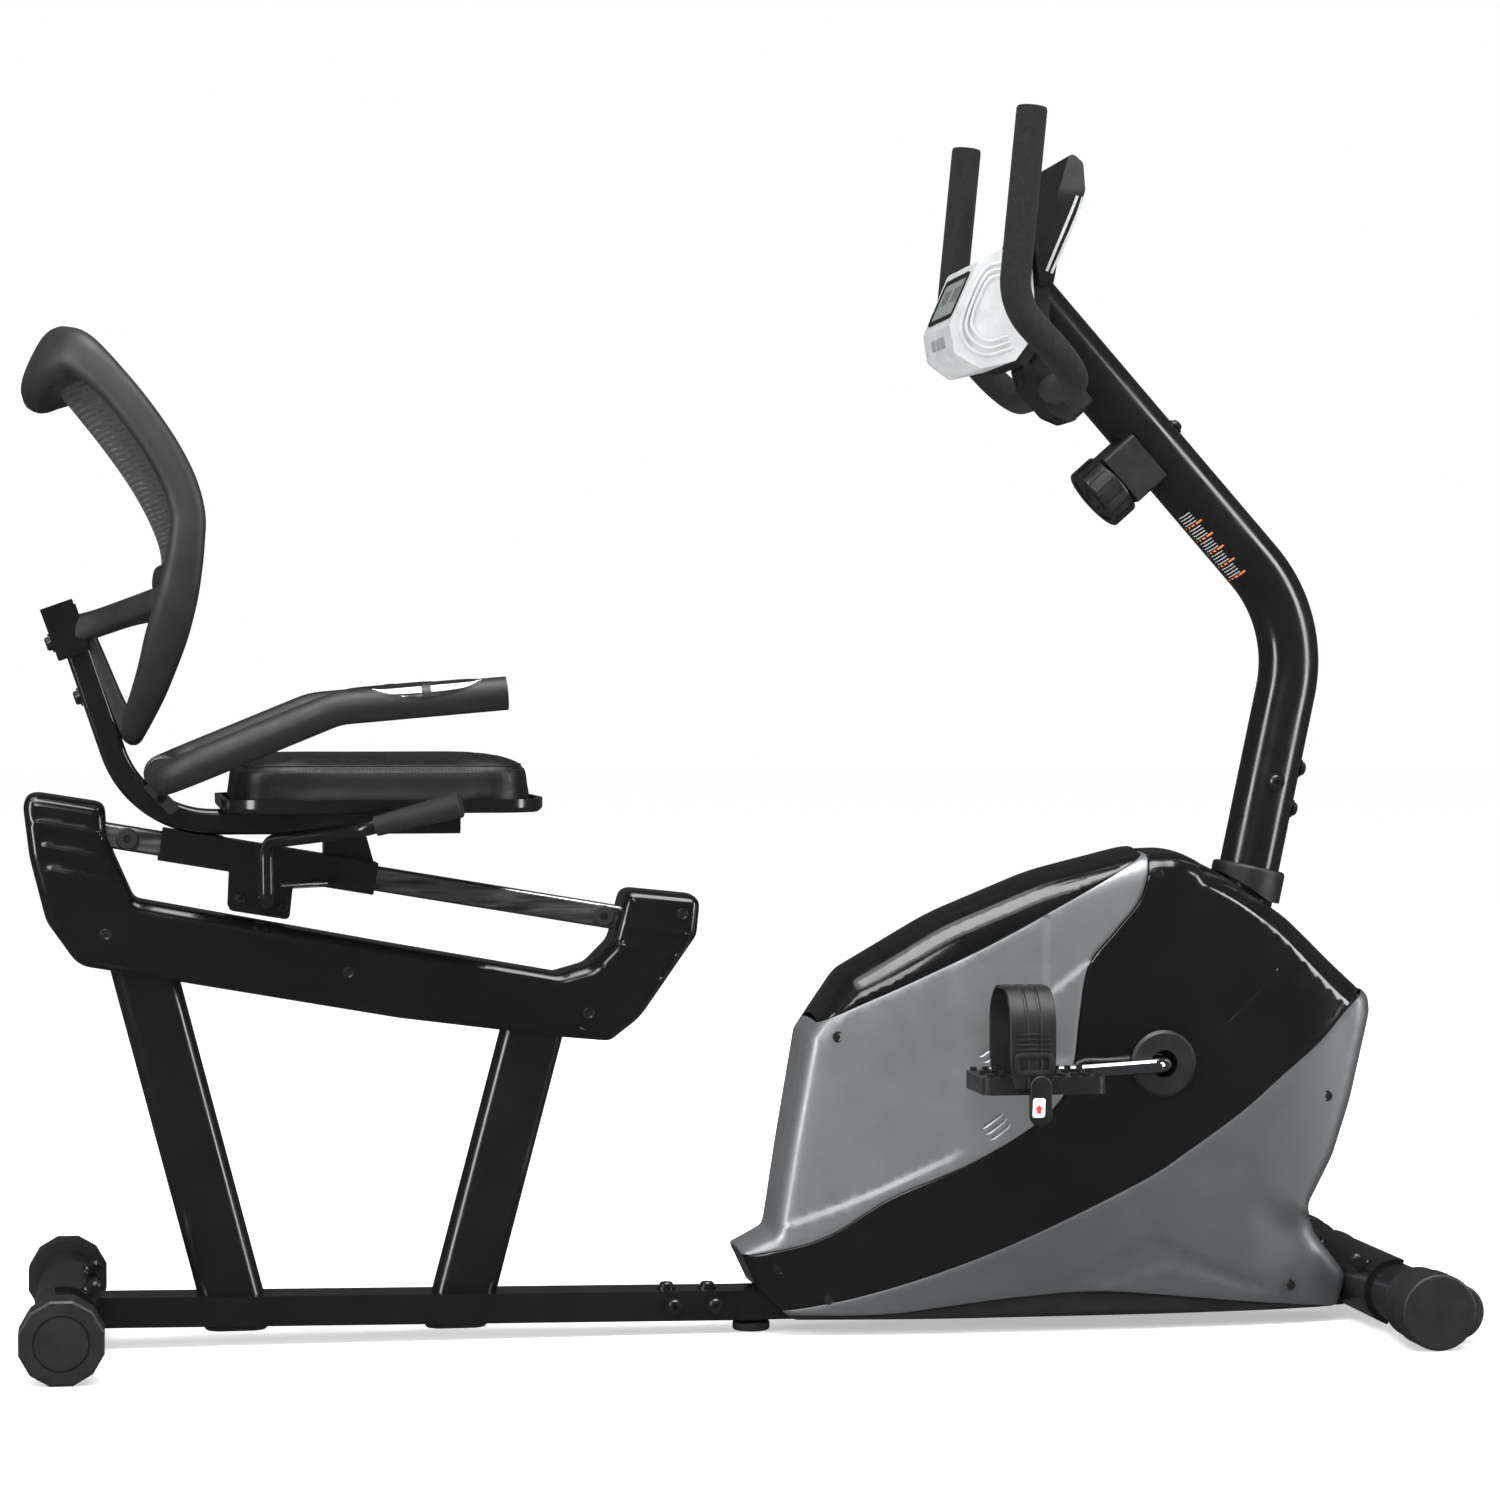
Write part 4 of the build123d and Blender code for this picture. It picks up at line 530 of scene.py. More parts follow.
# ---- side panels: moulded shells seen from the side ----------------------------------------------
class SideShell:
    """Both sides of a moulded casing. A side is a height y(x, z) over a triangulated side view."""

    def __init__(self, loop, lines, height, pitch=6.5, rings=(1.2, 3.0, 5.5, 9.0)):
        self.loop, self.height = loop, height
        self.vertices, self.triangles = self.triangulate(loop, lines, pitch, rings)
        self.centres = self.vertices[self.triangles].mean(axis=1)

    def triangulate(self, loop, lines, pitch, rings):
        points, edges = [], []
        for ring in [loop] + [self.inset(loop, d) for d in rings]:
            first = len(points)
            points.extend(ring)
            edges.extend((first + i, first + (i + 1) % len(ring)) for i in range(len(ring)))
        for line in lines:
            first = len(points)
            points.extend(line)
            edges.extend((first + i, first + i + 1) for i in range(len(line) - 1))
        fixed = plane_array(points)
        low, high = fixed.min(axis=0), fixed.max(axis=0)
        grid = []
        row_step = pitch * math.sqrt(3) / 2
        for row, z in enumerate(np.arange(low[1], high[1], row_step)):
            for x in np.arange(low[0] + (row % 2) * pitch / 2, high[0], pitch):
                grid.append((x, z))
        grid = np.array(grid)
        keep = inside(loop, grid) & (distance_to(loop, grid, True)[0] > max(rings) + 0.5 * pitch)
        for line in lines:
            keep &= distance_to(line, grid)[0] > 0.45 * pitch
        points.extend(Vector(p) for p in grid[keep])
        made = delaunay_2d_cdt([Vector(tuple(p)) for p in points], edges, [], 0, 0.02)
        vertices = plane_array(made[0])
        triangles = np.array([t for t in made[2] if len(t) == 3])
        centres = vertices[triangles].mean(axis=1)
        return vertices, triangles[inside(loop, centres)]

    @staticmethod
    def inset(loop, distance):
        """Ring inside the loop, without the points that would come too near another part of it."""
        count = len(loop)
        area = sum(a.x * b.y - b.x * a.y for a, b in zip(loop, loop[1:] + loop[:1]))
        turn = 1 if area > 0 else -1
        ring = []
        for i in range(count):
            ahead = loop[(i + 1) % count] - loop[i - 1]
            if ahead.length < 1e-6:
                continue
            ring.append(loop[i] + Vector((-ahead.y, ahead.x)).normalized() * distance * turn)
        near = distance_to(loop, plane_array(ring), True)[0]
        return [p for p, d in zip(ring, near) if d > 0.93 * distance]

    def build(self, name, keep, body, slot, halves=True, roof_crown=0.0, centre_gap=0.25):
        """Shell of the kept triangles: right side, returns along its seams, and its roof to the middle."""
        chosen = self.triangles[keep]
        used = np.unique(chosen)
        number = {v: i for i, v in enumerate(used)}
        flat = self.vertices[used]
        depth = self.height(flat)
        points = [(x, -y, z) for (x, z), y in zip(flat, depth)]
        faces = [tuple(number[v] for v in t) for t in chosen]
        uses = Counter((min(e), max(e)) for t in faces for e in zip(t, t[1:] + t[:1]))
        rim = [edge for edge, times in uses.items() if times == 1]
        outer = distance_to(self.loop, flat, True)[0] < 0.05
        rows, lip = 5, 4.0
        below = {}
        for a, b in rim:
            on_outline = outer[a] and outer[b]
            for v in (a, b):
                if (v, on_outline) in below:
                    continue
                x, y, z = points[v]
                if on_outline:
                    start = len(points)
                    for k in range(1, rows + 1):
                        t = k / rows
                        lift = roof_crown * (1 - (1 - t) ** 2)
                        points.append((x, y + (-centre_gap - y) * t, z + lift))
                    below[(v, True)] = [v] + list(range(start, start + rows))
                else:
                    points.append((x, y + lip, z))
                    below[(v, False)] = [v, len(points) - 1]
            left, right = below[(a, on_outline)], below[(b, on_outline)]
            for i in range(len(left) - 1):
                faces.append((left[i], right[i], right[i + 1], left[i + 1]))
        mirrored = [(x, -y, z) for x, y, z in points]
        if not halves:
            return [piece(name, *merged([(points, faces), (mirrored, faces)]), body, slot)]
        return [piece(name + "_right", points, faces, body, slot),
                piece(name + "_left", mirrored, faces, body, slot)]


def edge_drop(d, radius):
    """How far a rounded edge falls back at distance d from the outline."""
    t = np.clip(1 - d / radius, 0, 1)
    return radius * (1 - np.sqrt(1 - t * t))


# ---- pod -----------------------------------------------------------------------------------------
POD = [(-9, 85), (26, 102), (40, 190), (60, 303), (98, 363), (194, 418), (300, 461), (398, 485),
       (445, 487), (500, 460), (564, 418), (652, 337), (653, 321), (630, 228), (610, 172), (581, 121),
       (592, 92), (629, 47), (616, 15), (44, 15), (9, 47)]
POD_R = [3, 10, 400, 12, 20, 300, 300, 70, 60, 300, 100, 12, 16, 300, 100, 16, 14, 12, 8, 12, 12]
POD_HALF = [(-14, 46), (40, 60), (180, 78), (420, 82), (560, 74), (664, 46)]
SILVER_EDGE = smooth_line([(414, 512), (409, 478), (398, 440), (372, 408), (343.5, 373), (334, 325),
                           (328, 275), (316, 240), (282, 208), (219, 173), (140, 140), (83, 105),
                           (38, 89), (-30, 78)])
COVER_EDGE = smooth_line([(30, 300), (58, 312), (103, 332), (169, 361), (248, 398), (327, 440),
                          (388, 474), (424, 498)])
GREY_EDGE = smooth_line([(672, 362), (640, 338), (620, 321), (592, 292), (548, 257), (505, 222),
                         (449, 184), (397, 152.5), (277, 97), (189, 64), (116, 42), (60, 30), (20, 25)])
SKIRT_EDGE = smooth_line([(20, 21), (128, 21.5), (193, 28.6), (264, 36.6), (355, 41.3), (462, 31.7),
                          (586, 18), (640, 14)])
RIDGE = smooth_line([(449, 475), (438, 447), (403, 417), (350, 381), (304, 346)])
STRIP_LOW = smooth_line([(224, 190), (183, 172), (118, 143), (63, 122), (20, 106)])
GROOVE = smooth_line([(544, 367), (519, 341), (489, 313)])
FRONT_CREASE = smooth_line([(470, 452), (520, 424), (566, 386), (600, 352), (634, 322)])
SEAMS = (SILVER_EDGE, COVER_EDGE, GREY_EDGE, SKIRT_EDGE)
SCOOP = smooth_line([(501, 157), (530, 143), (562, 124)])
VENTS = [((232 + 5 * i, 284 - 6 * i), (250 + 5 * i, 296 - 6 * i)) for i in range(5)]
VENTS += [((236 + 4 * i, 212 - 6 * i), (250 + 4 * i, 222 - 6 * i)) for i in range(3)]
POD_SCREWS = [(416, 465), (599.5, 235), (87, 303), (28, 68), (79, 38), (560, 41)]
BOAT_SCREWS = [(-641, 412), (-403, 372), (-163, 328), (-68, 427)]
CHEVRON = [(294, 42), (411, 99), (546, 36)]
CHEVRON_LOW = [(355, 43), (427, 64), (520, 36)]


def pod_plan(x):
    """Half width of the pod at x, a smooth curve in plan."""
    xs, halves = zip(*POD_HALF)
    fine = np.linspace(xs[0], xs[-1], 60)
    coarse = np.interp(fine, xs, halves)
    kernel = np.ones(9) / 9
    soft = np.convolve(np.pad(coarse, 4, mode="edge"), kernel, mode="valid")
    return np.interp(x, fine, soft)


class Pod:
    def __init__(self):
        self.loop = rounded_loop(POD, POD_R)
        lines = [shifted(s, d) for s in SEAMS for d in (-2.2, -0.4, 0.4, 2.2)]
        lines += [shifted(s, d) for s in (RIDGE, STRIP_LOW) for d in (-1.5, 1.5)]
        lines += [shifted(GROOVE, d) for d in (-2.4, 0, 2.4)]
        for slot in VENTS:
            lines += [shifted([Vector(p) for p in slot], d) for d in (-2, 0, 2)]
        lines.append(FRONT_CREASE)
        lines += [divided(chevron, 5) for chevron in (CHEVRON, CHEVRON_LOW)]
        self.shell = SideShell(self.loop, lines, self.height)
        turns = [2 * math.pi * i / 40 for i in range(40)]
        self.ring = [Vector((CRANK_X + RING_R * math.cos(a), CRANK_Z + RING_R * math.sin(a))) for a in turns]

    def parts(self, where):
        """Which panel each side-view point is on."""
        silver = (distance_to(SILVER_EDGE, where)[1] < 0)
        cover = (distance_to(COVER_EDGE, where)[1] > 0) & (where[:, 0] < 424)
        grey = (distance_to(GREY_EDGE, where)[1] > 0)
        skirt = (distance_to(SKIRT_EDGE, where)[1] < 0)
        return {"cover": cover, "silver": silver & ~cover, "skirt": skirt & ~cover & ~silver,
                "grey": grey & ~skirt & ~silver & ~cover, "shroud": ~(cover | silver | grey | skirt)}

    def height(self, where):
        x, z = where[:, 0], where[:, 1]
        d = distance_to(self.loop, where, True)[0]
        part = self.parts(where)
        y = pod_plan(x) - 5.0 * ease(z, 300, 480) - 3.0 * ease(-z, -120, -20)
        radius = 15 + 13 * ease(z, 300, 380) - 9 * ease(-z, -60, -20)
        y = y - edge_drop(d, radius)
        above = distance_to(COVER_EDGE, where)[0]
        y = y - part["cover"] * (3.0 + 0.16 * above)
        to_ridge, ridge_side = distance_to(RIDGE, where)
        to_low, low_side = distance_to(STRIP_LOW, where)
        strip = np.maximum(ease(-to_ridge * ridge_side, -1.5, 1.5) * (x > 300),
                           ease(-to_low * low_side, -1.5, 1.5) * (x < 226))
        fade = 1 - ease(x, 196, 226) * (x < 226)
        y = y - part["silver"] * strip * 2.0 * fade
        to_edge = distance_to(SILVER_EDGE, where)[0]
        y = y + part["shroud"] * (1.4 - 2.0 * ease(to_edge, 0, 26))
        to_crease, crease_side = distance_to(FRONT_CREASE, where)
        y = y - part["shroud"] * np.where((crease_side > 0) & (x > 466), 0.5 * to_crease, 0)
        y = y - part["shroud"] * 1.6 * np.exp(-(distance_to(GROOVE, where)[0] / 1.8) ** 2)
        to_scoop, scoop_side = distance_to(SCOOP, where)
        y = y - part["grey"] * 7.0 * ease(x, 500, 575) * ease(-to_scoop * scoop_side, -4, 30) * (z < 175)
        band = CHEVRON + CHEVRON_LOW[::-1]
        into = distance_to(band, where, True)[0] * inside(band, where)
        y = y - part["grey"] * 1.5 * ease(into, 0.0, 5.0)
        y = y - part["skirt"] * 7.0
        for slot in VENTS:
            to_slot = distance_to(slot, where)[0]
            y = y - part["silver"] * 2.2 * (1 - ease(to_slot, 0.8, 2.4))
        for seam in SEAMS:
            y = y - 0.7 * (1 - ease(distance_to(seam, where)[0], 0.3, 2.2))
        return y

    def build(self):
        centres = self.shell.centres
        clear = np.ones(len(centres), bool)
        for seam in SEAMS:
            clear &= distance_to(seam, centres)[0] > 0.38
        clear &= ~inside(self.ring, centres)
        part = self.parts(centres)
        cover = self.shell.build("top_cover_shell", part["cover"] & clear, "frame", "gloss_black",
                                 halves=False, roof_crown=6.0, centre_gap=0.0)
        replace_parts(cover[0], "top_cover")
        silver, grey, shroud = (
            self.shell.build(name, part[panel] & clear, "frame", slot, roof_crown=crown)
            for name, panel, slot, crown in (("rear_panel_shell", "silver", "silver_panel", 2.0),
                                             ("lower_panel_shell", "grey", "grey_panel", 0.0),
                                             ("shroud_shell", "shroud", "gloss_black", 3.0)))
        self.shell.build("skirt_shell", part["skirt"] & clear, "frame", "cap_plastic")
        for made, node in ((silver, "rear_panels"), (grey, "lower_panels")):
            for half in made:
                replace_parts(half, node)
        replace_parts(shroud[0], "shroud_right")
        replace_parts(shroud[1], "shroud_left")


# ---- rail cover: glossy boat round the sliding rail ----------------------------------------------
BOAT = [(-723, 553), (-642, 540), (-640, 508), (-632, 488), (-613, 445), (-369, 399), (-193, 367),
        (-161, 376), (-137, 400), (-124, 452), (-48, 444), (-52, 405), (-110, 322), (-140, 299),
        (-192, 304), (-352, 325), (-565, 363), (-668, 381), (-699, 425), (-715, 488)]
BOAT_R = [16, 12, 14, 30, 12, 600, 14, 18, 24, 12, 12, 16, 60, 16, 40, 400, 200, 30, 34, 120]
BOAT_HALF = 40.0
BOAT_GROOVES = [((-709, 523), (-645, 511)), ((-702, 499), (-643, 487)), ((-697, 476), (-636, 463)),
                ((-120, 417), (-63, 406)), ((-129, 396), (-75, 384)), ((-148, 374), (-89, 361))]
BOAT_CREASE = smooth_line([(-262, 353), (-245, 341), (-205, 327), (-165, 312), (-120, 300)])


class RailCover:
    def __init__(self):
        self.loop = rounded_loop(BOAT, BOAT_R)
        self.grooves = [divided(groove, 4) for groove in BOAT_GROOVES]
        lines = [shifted(BOAT_CREASE, d) for d in (-1.2, 1.2)]
        for groove in self.grooves:
            lines += [shifted(groove, d) for d in (-2.2, -0.8, 0.8, 2.2)]
        self.shell = SideShell(self.loop, lines, self.height, rings=(0.8, 2.2, 4.5, 8.0, 12.0))

    def height(self, where):
        d = distance_to(self.loop, where, True)[0]
        y = BOAT_HALF - edge_drop(d, 12.5)
        for groove in self.grooves:
            y = y + 1.1 * (1 - ease(distance_to(groove, where)[0], 0.6, 2.2))
        to_crease, side = distance_to(BOAT_CREASE, where)
        y = y - 1.8 * ease(to_crease * side, -1.2, 1.2) * (1 - ease(to_crease, 4, 46)) * (where[:, 0] > -262)
        return y

    def build(self):
        keep = np.ones(len(self.shell.centres), bool)
        for half in self.shell.build("rail_cover", keep, "frame", "gloss_black", roof_crown=1.5):
            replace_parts(half, "rail_covers")


# ---- backrest ------------------------------------------------------------------------------------
# x, y, z, direction of the section's deep axis above +X in degrees, half depth, half width
BACK_RING = [(-699, 0, 966, 65, 36, 16), (-698, -70, 966, 65, 36, 16),
             (-693, -118, 968, 64, 34, 16), (-682, -152, 971, 60, 29, 16),
             (-664, -177, 970, 55, 21, 16), (-637, -190, 946, 46, 17, 15),
             (-612, -197, 916, 38, 16.5, 15), (-588, -201, 881, 30, 16.5, 15),
             (-571, -203, 848, 20, 16.5, 15), (-563, -204, 818, 10, 16.5, 15),
             (-564, -204, 793, 1, 17, 15), (-567, -201, 770, -6, 18, 15),
             (-573, -193, 740, -12, 19.5, 15.5), (-582, -174, 706, -15, 20, 16),
             (-591, -142, 675, -20, 18, 16), (-599, -106, 651, -24, 16.5, 16),
             (-608, -68, 628, -27, 14.5, 15), (-612, -36, 615, -27, 12, 14),
             (-613, 0, 611, -27, 11, 13)]
MESH_MIDDLE = [(-585, 770), (-588, 795), (-600, 825), (-620, 860), (-648, 899), (-684, 944)]
MESH_EDGE = [(-574, 770), (-570, 796), (-575, 828), (-592, 866), (-621, 908), (-656, 950)]
MESH_HALF = [194, 196, 195, 192, 187, 168]


def section_ring(centre, tangent, deep, half_deep, half_wide, sides=20, power=2.7):
    """Rounded-box section square to the tangent."""
    tangent = tangent.normalized()
    deep = (deep - tangent * deep.dot(tangent)).normalized()
    wide = tangent.cross(deep)
    ring = []
    for i in range(sides):
        a = 2 * math.pi * i / sides
        c, s = math.cos(a), math.sin(a)
        u = math.copysign(abs(c) ** (2 / power), c) * half_deep
        v = math.copysign(abs(s) ** (2 / power), s) * half_wide
        ring.append(centre + deep * u + wide * v)
    return ring


def back_bar(name, rows, closed=False, sides=20, power=2.7):
    """Bar with a changing rounded section through rows of x, y, z, deep angle, half depth, half width."""
    rows = [np.array(r, float) for r in rows]
    stations = []
    count, cuts = len(rows), 5
    for i in range(count if closed else count - 1):
        near = [(i + k) % count if closed else min(max(i + k, 0), count - 1) for k in (-1, 0, 1, 2)]
        stations += [spline_at(*[rows[n] for n in near], k / cuts) for k in range(cuts)]
    if not closed:
        stations.append(rows[-1])
    rings = []
    for i, row in enumerate(stations):
        run = stations[(i + 1) % len(stations)] - stations[i - 1] if closed else along(stations, i)
        angle = math.radians(row[3])
        deep = Vector((math.cos(angle), 0, math.sin(angle)))
        rings.append(section_ring(Vector(row[:3]), Vector(run[:3]), deep, row[4], row[5], sides, power))
    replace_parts(ribbon(name, rings, "seat", "back_plastic", closed, sharp_deg=60), "backrest_frame")


def other_side(rows):
    """Rows of a bar mirrored to the other side, in the order that carries it on."""
    return [(x, -y, *rest) for x, y, *rest in reversed(rows)]


def make_backrest():
    back_bar("backrest_ring", BACK_RING + other_side(BACK_RING[1:-1]), closed=True, sides=28)
    for side, name in SIDES:
        arm = [(-668, side * 17, 713, 75, 14, 9), (-648, side * 40, 719, 78, 13, 9),
               (-616, side * 104, 730, 80, 12, 9), (-588, side * 168, 738, 80, 13, 10),
               (-573, side * 192, 742, 80, 14, 10)]
        back_bar("backrest_arm_" + name, arm)
    spine = [(-661, 0, 716, -20, 7, 22), (-648, 0, 683, -20, 8, 22), (-633, 0, 645, -20, 9, 22),
             (-618, 0, 612, -22, 10, 22), (-611, 0, 601, -30, 6, 20)]
    back_bar("backrest_spine", spine, power=4)
    bar = [(-569, -196, 762, 85, 15, 7), (-577, -140, 762, 85, 14, 7), (-586, -60, 762, 85, 13, 7),
           (-588, 0, 762, 85, 13, 7)]
    back_bar("backrest_crossbar", bar + other_side(bar[:-1]))


def make_back_mesh():
    """Knitted sheet stretched inside the ring, dished towards the rear."""
    middle, edge = smooth_line(MESH_MIDDLE, 6.0), smooth_line(MESH_EDGE, 6.0)
    rows, columns = 36, 48
    points = []
    for r in range(rows + 1):
        t = r / rows
        m = line_at(middle, t)
        e = line_at(edge, t)
        half = float(np.interp(t * (len(MESH_HALF) - 1), range(len(MESH_HALF)), MESH_HALF))
        for c in range(columns + 1):
            v = 2 * c / columns - 1
            share = 1 - abs(v) ** 2.2
            points.append((e.x + (m.x - e.x) * share, v * half, e.y + (m.y - e.y) * share))
    sheet = piece("backrest_sheet", points, grid_faces(rows, columns), "seat", "mesh_fabric", sharp_deg=80)
    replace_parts(sheet, "backrest_mesh")


def line_at(line, share):
    """Point at a share of a line's length."""
    runs = [(b - a).length for a, b in zip(line, line[1:])]
    target = share * sum(runs)
    for i, run in enumerate(runs):
        if target <= run or i == len(runs) - 1:
            return line[i].lerp(line[i + 1], min(1.0, target / max(run, 1e-9)))
        target -= run
    return line[-1]


# ---- seat cushion --------------------------------------------------------------------------------
CUSHION = [(-521, -174), (-240, -174), (-224, -82), (-224, 82), (-240, 174), (-521, 174)]
CUSHION_R = [56, 44, 90, 90, 44, 56]
CUSHION_LAYERS = [(537.6, 12), (538.4, 5), (542, 2.2), (556, 1.2), (570, 1.4), (577, 3.4), (581, 7.5),
                  (583.4, 14), (584.6, 28), (585.6, 60), (586.0, 100)]
SEAM_Z = 577.5
CUSHION_X = -372
HELD_BELOW = 541.5


def cushion_start():
    loop = rounded_loop(CUSHION, CUSHION_R, 6.0)
    middle = Vector((CUSHION_X, 0))
    points = []
    for z, inset in CUSHION_LAYERS:
        for p in loop:
            q = middle + (p - middle) * (1 - inset / (p - middle).length)
            points.append(Vector((q.x, q.y, z)) * MM)
    mesh = bpy.data.meshes.new("cushion_start")
    rows = len(CUSHION_LAYERS)
    mesh.from_pydata(points, [], end_caps(rows, len(loop)) + skin(rows, len(loop)))
    return mesh


def apply_all(obj):
    """Mesh of the object with its modifiers applied."""
    graph = bpy.context.evaluated_depsgraph_get()
    made = bpy.data.meshes.new_from_object(obj.evaluated_get(graph), depsgraph=graph)
    obj.modifiers.clear()
    return made


def puff(obj, cap_mm, frames=20):
    """Inflates the cushion as cloth, its underside held, and limits how far a point moves."""
    rest = np.array([v.co[:] for v in obj.data.vertices])
    held = obj.vertex_groups.new(name="held")
    held.add([v.index for v in obj.data.vertices if v.co.z < HELD_BELOW * MM], 1.0, "REPLACE")
    cloth = obj.modifiers.new("cloth", "CLOTH")
    cloth.settings.quality = 5
    cloth.settings.use_pressure = True
    cloth.settings.uniform_pressure_force = 4.0
    cloth.settings.effector_weights.gravity = 0.0
    cloth.settings.vertex_group_mass = "held"
    cloth.point_cache.frame_end = frames
    for number in range(1, frames + 1):
        bpy.context.scene.frame_set(number)
    made = apply_all(obj)
    bpy.context.scene.frame_set(1)
    after = np.array([v.co[:] for v in made.vertices])
    gap = after - rest
    length = np.linalg.norm(gap, axis=1, keepdims=True)
    capped = rest + gap * np.minimum(1.0, cap_mm * MM / np.maximum(length, 1e-9))
    made.vertices.foreach_set("co", capped.astype(np.float32).ravel())
    made.update()
    return made


def make_cushion():
    obj = linked("seat_cushion_padded", cushion_start())
    remesh = obj.modifiers.new("remesh", "REMESH")
    remesh.mode = "VOXEL"
    remesh.voxel_size = 0.005
    obj.data = apply_all(obj)
    obj.data = puff(obj, 4.0)
    smooth = obj.modifiers.new("soften", "SMOOTH")
    smooth.iterations = 6
    smooth.factor = 0.5
    divide = obj.modifiers.new("divide", "SUBSURF")
    divide.levels = divide.render_levels = 1
    obj.data = apply_all(obj)
    for v in obj.data.vertices:
        off = (v.co.z * 1000 - SEAM_Z) / 2.0
        flat = Vector((v.co.x - CUSHION_X * MM, v.co.y, 0))
        v.co -= flat.normalized() * 0.0013 * math.exp(-off * off)
    for polygon in obj.data.polygons:
        polygon.use_smooth = True
    obj.data.materials.clear()
    obj.data.materials.append(LOOKS["cushion_leather"])
    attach(obj, "seat")
    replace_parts(obj, "seat_cushion")
    make_seam(obj)


def surface_ring(obj, z, count):
    """Points and outward directions round the cushion's side at one height."""
    tree = BVHTree.FromPolygons([v.co for v in obj.data.vertices], [p.vertices for p in obj.data.polygons])
    loop = rounded_loop(CUSHION, CUSHION_R, 1.0)
    loop = [line_at(loop + loop[:1], i / count) for i in range(count)]
    ring = []
    for i, p in enumerate(loop):
        ahead = loop[(i + 1) % count] - loop[i - 1]
        out = Vector((ahead.y, -ahead.x, 0)).normalized()
        start = Vector((p.x, p.y, z)) * MM + out * 0.03
        hit = tree.ray_cast(start, -out)
        if hit[0] is not None:
            ring.append((hit[0] / MM, out))
    return ring


# one stitch: along the seam, up, out of the surface; six points of its rim and its crown
STITCH = [(-1.3, 0, 0), (-0.8, 0.35, 0.3), (0.8, 0.35, 0.3), (1.3, 0, 0), (0.8, -0.35, 0.3),
          (-0.8, -0.35, 0.3), (0, 0, 0.62)]


def make_seam(obj):
    """Piping bead round the top panel and the stitches under it."""
    bead = surface_ring(obj, SEAM_Z + 1.6, 360)
    rings = []
    count = len(bead)
    for i, (p, out) in enumerate(bead):
        ahead = bead[(i + 1) % count][0] - bead[i - 1][0]
        rings.append(section_ring(p - out * 0.3, ahead, out, 1.15, 1.15, sides=8, power=2))
    ribbon("cushion_piping", rings, "seat", "cushion_leather", closed=True, sharp_deg=80)
    points, faces = [], []
    for i, (p, out) in enumerate(surface_ring(obj, SEAM_Z - 2.6, 330)):
        run = Vector((-out.y, out.x, 0))
        up = Vector((0, 0, 1))
        first = len(points)
        for a, u, o in STITCH:
            points.append(p + run * a + up * u + out * (o + 0.1))
        rim = [first + k for k in range(6)]
        faces.extend((rim[k], rim[(k + 1) % 6], first + 6) for k in range(6))
        faces.append(tuple(reversed(rim)))
    piece("cushion_stitches", points, faces, "seat", "cushion_leather", look=THREAD)


# ---- small pieces --------------------------------------------------------------------------------
MAST_R = 31.0
UP = Vector((-0.664, 0, 0.748))
OUT = Vector((-0.748, 0, -0.664))
MAST_ORIGIN = Vector((410, 0, 928.5))


def plain_look(name, colour, rough):
    look = Look(name, colour, rough)
    look.mottle(4, 0.12).roughness(5, rough - 0.05, rough + 0.08)
    look.relief(look.noise(0.8, 2), 0.02, 0.4)
    return look.mat


THREAD = plain_look("thread", (0.02, 0.02, 0.021), 0.7)
TICK_ORANGE = plain_look("tick_orange", (0.72, 0.16, 0.035), 0.5)
TICK_GREY = plain_look("tick_grey", (0.42, 0.43, 0.43), 0.5)
LABEL_WHITE = plain_look("label_white", (0.72, 0.71, 0.69), 0.45)
LABEL_RED = plain_look("label_red", (0.55, 0.03, 0.03), 0.45)
DARK_RIM = plain_look("dark_rim", (0.006, 0.006, 0.0062), 0.4)
LCD_DARK = plain_look("lcd_dark", (0.03, 0.032, 0.033), 0.3)
BADGE = (257.5, 244.7)


def cylinder_patch(low, high, turn0, turn1, radius, cells=4):
    """Thin patch on the mast: distances up the mast and angles round it from the rider's side."""
    points = []
    side = Vector((0, 1, 0))
    for i in range(cells + 1):
        a = turn0 + (turn1 - turn0) * i / cells
        out = OUT * math.cos(a) + side * math.sin(a)
        points.extend(MAST_ORIGIN + UP * height + out * radius for height in (low, high))
    return points, grid_faces(cells, 1)


def merged(parts):
    points, faces = [], []
    for part_points, part_faces in parts:
        shift = len(points)
        points.extend(part_points)
        faces.extend(tuple(i + shift for i in f) for f in part_faces)
    return points, faces


def make_tick_label():
    """Height scale on the mast: groups of one long tick and thin short ones."""
    orange, grey = [], []
    start, pitch = -189.0, 3.5
    for group in range(5):
        base = start + group * 5 * pitch
        orange.append(cylinder_patch(base, base + 1.9, -1.0, -0.16, MAST_R + 0.25))
        for k in range(1, 5):
            low = base + k * pitch
            grey.append(cylinder_patch(low, low + 0.9, -0.84, -0.24, MAST_R + 0.25))
    piece("scale_long_ticks", *merged(orange), "frame", "frame_black", look=TICK_ORANGE)
    piece("scale_short_ticks", *merged(grey), "frame", "frame_black", look=TICK_GREY)


def coil(name, start, end, radius, wire, turns, body, slot):
    """Coil spring as a round wire on a helix."""
    turn = frame_at(start, end)
    axis = turn @ Vector((0, 0, 1))
    length = (Vector(end) - Vector(start)).length
    steps = turns * 14
    centres = []
    for i in range(steps + 1):
        a = 2 * math.pi * turns * i / steps
        local = Vector((radius * math.cos(a), radius * math.sin(a), length * i / steps))
        centres.append(Vector(start) + turn @ local)
    rings = [section_ring(p, along(centres, i), axis, wire, wire, sides=6, power=2)
             for i, p in enumerate(centres)]
    return ribbon(name, rings, body, slot, sharp_deg=80)


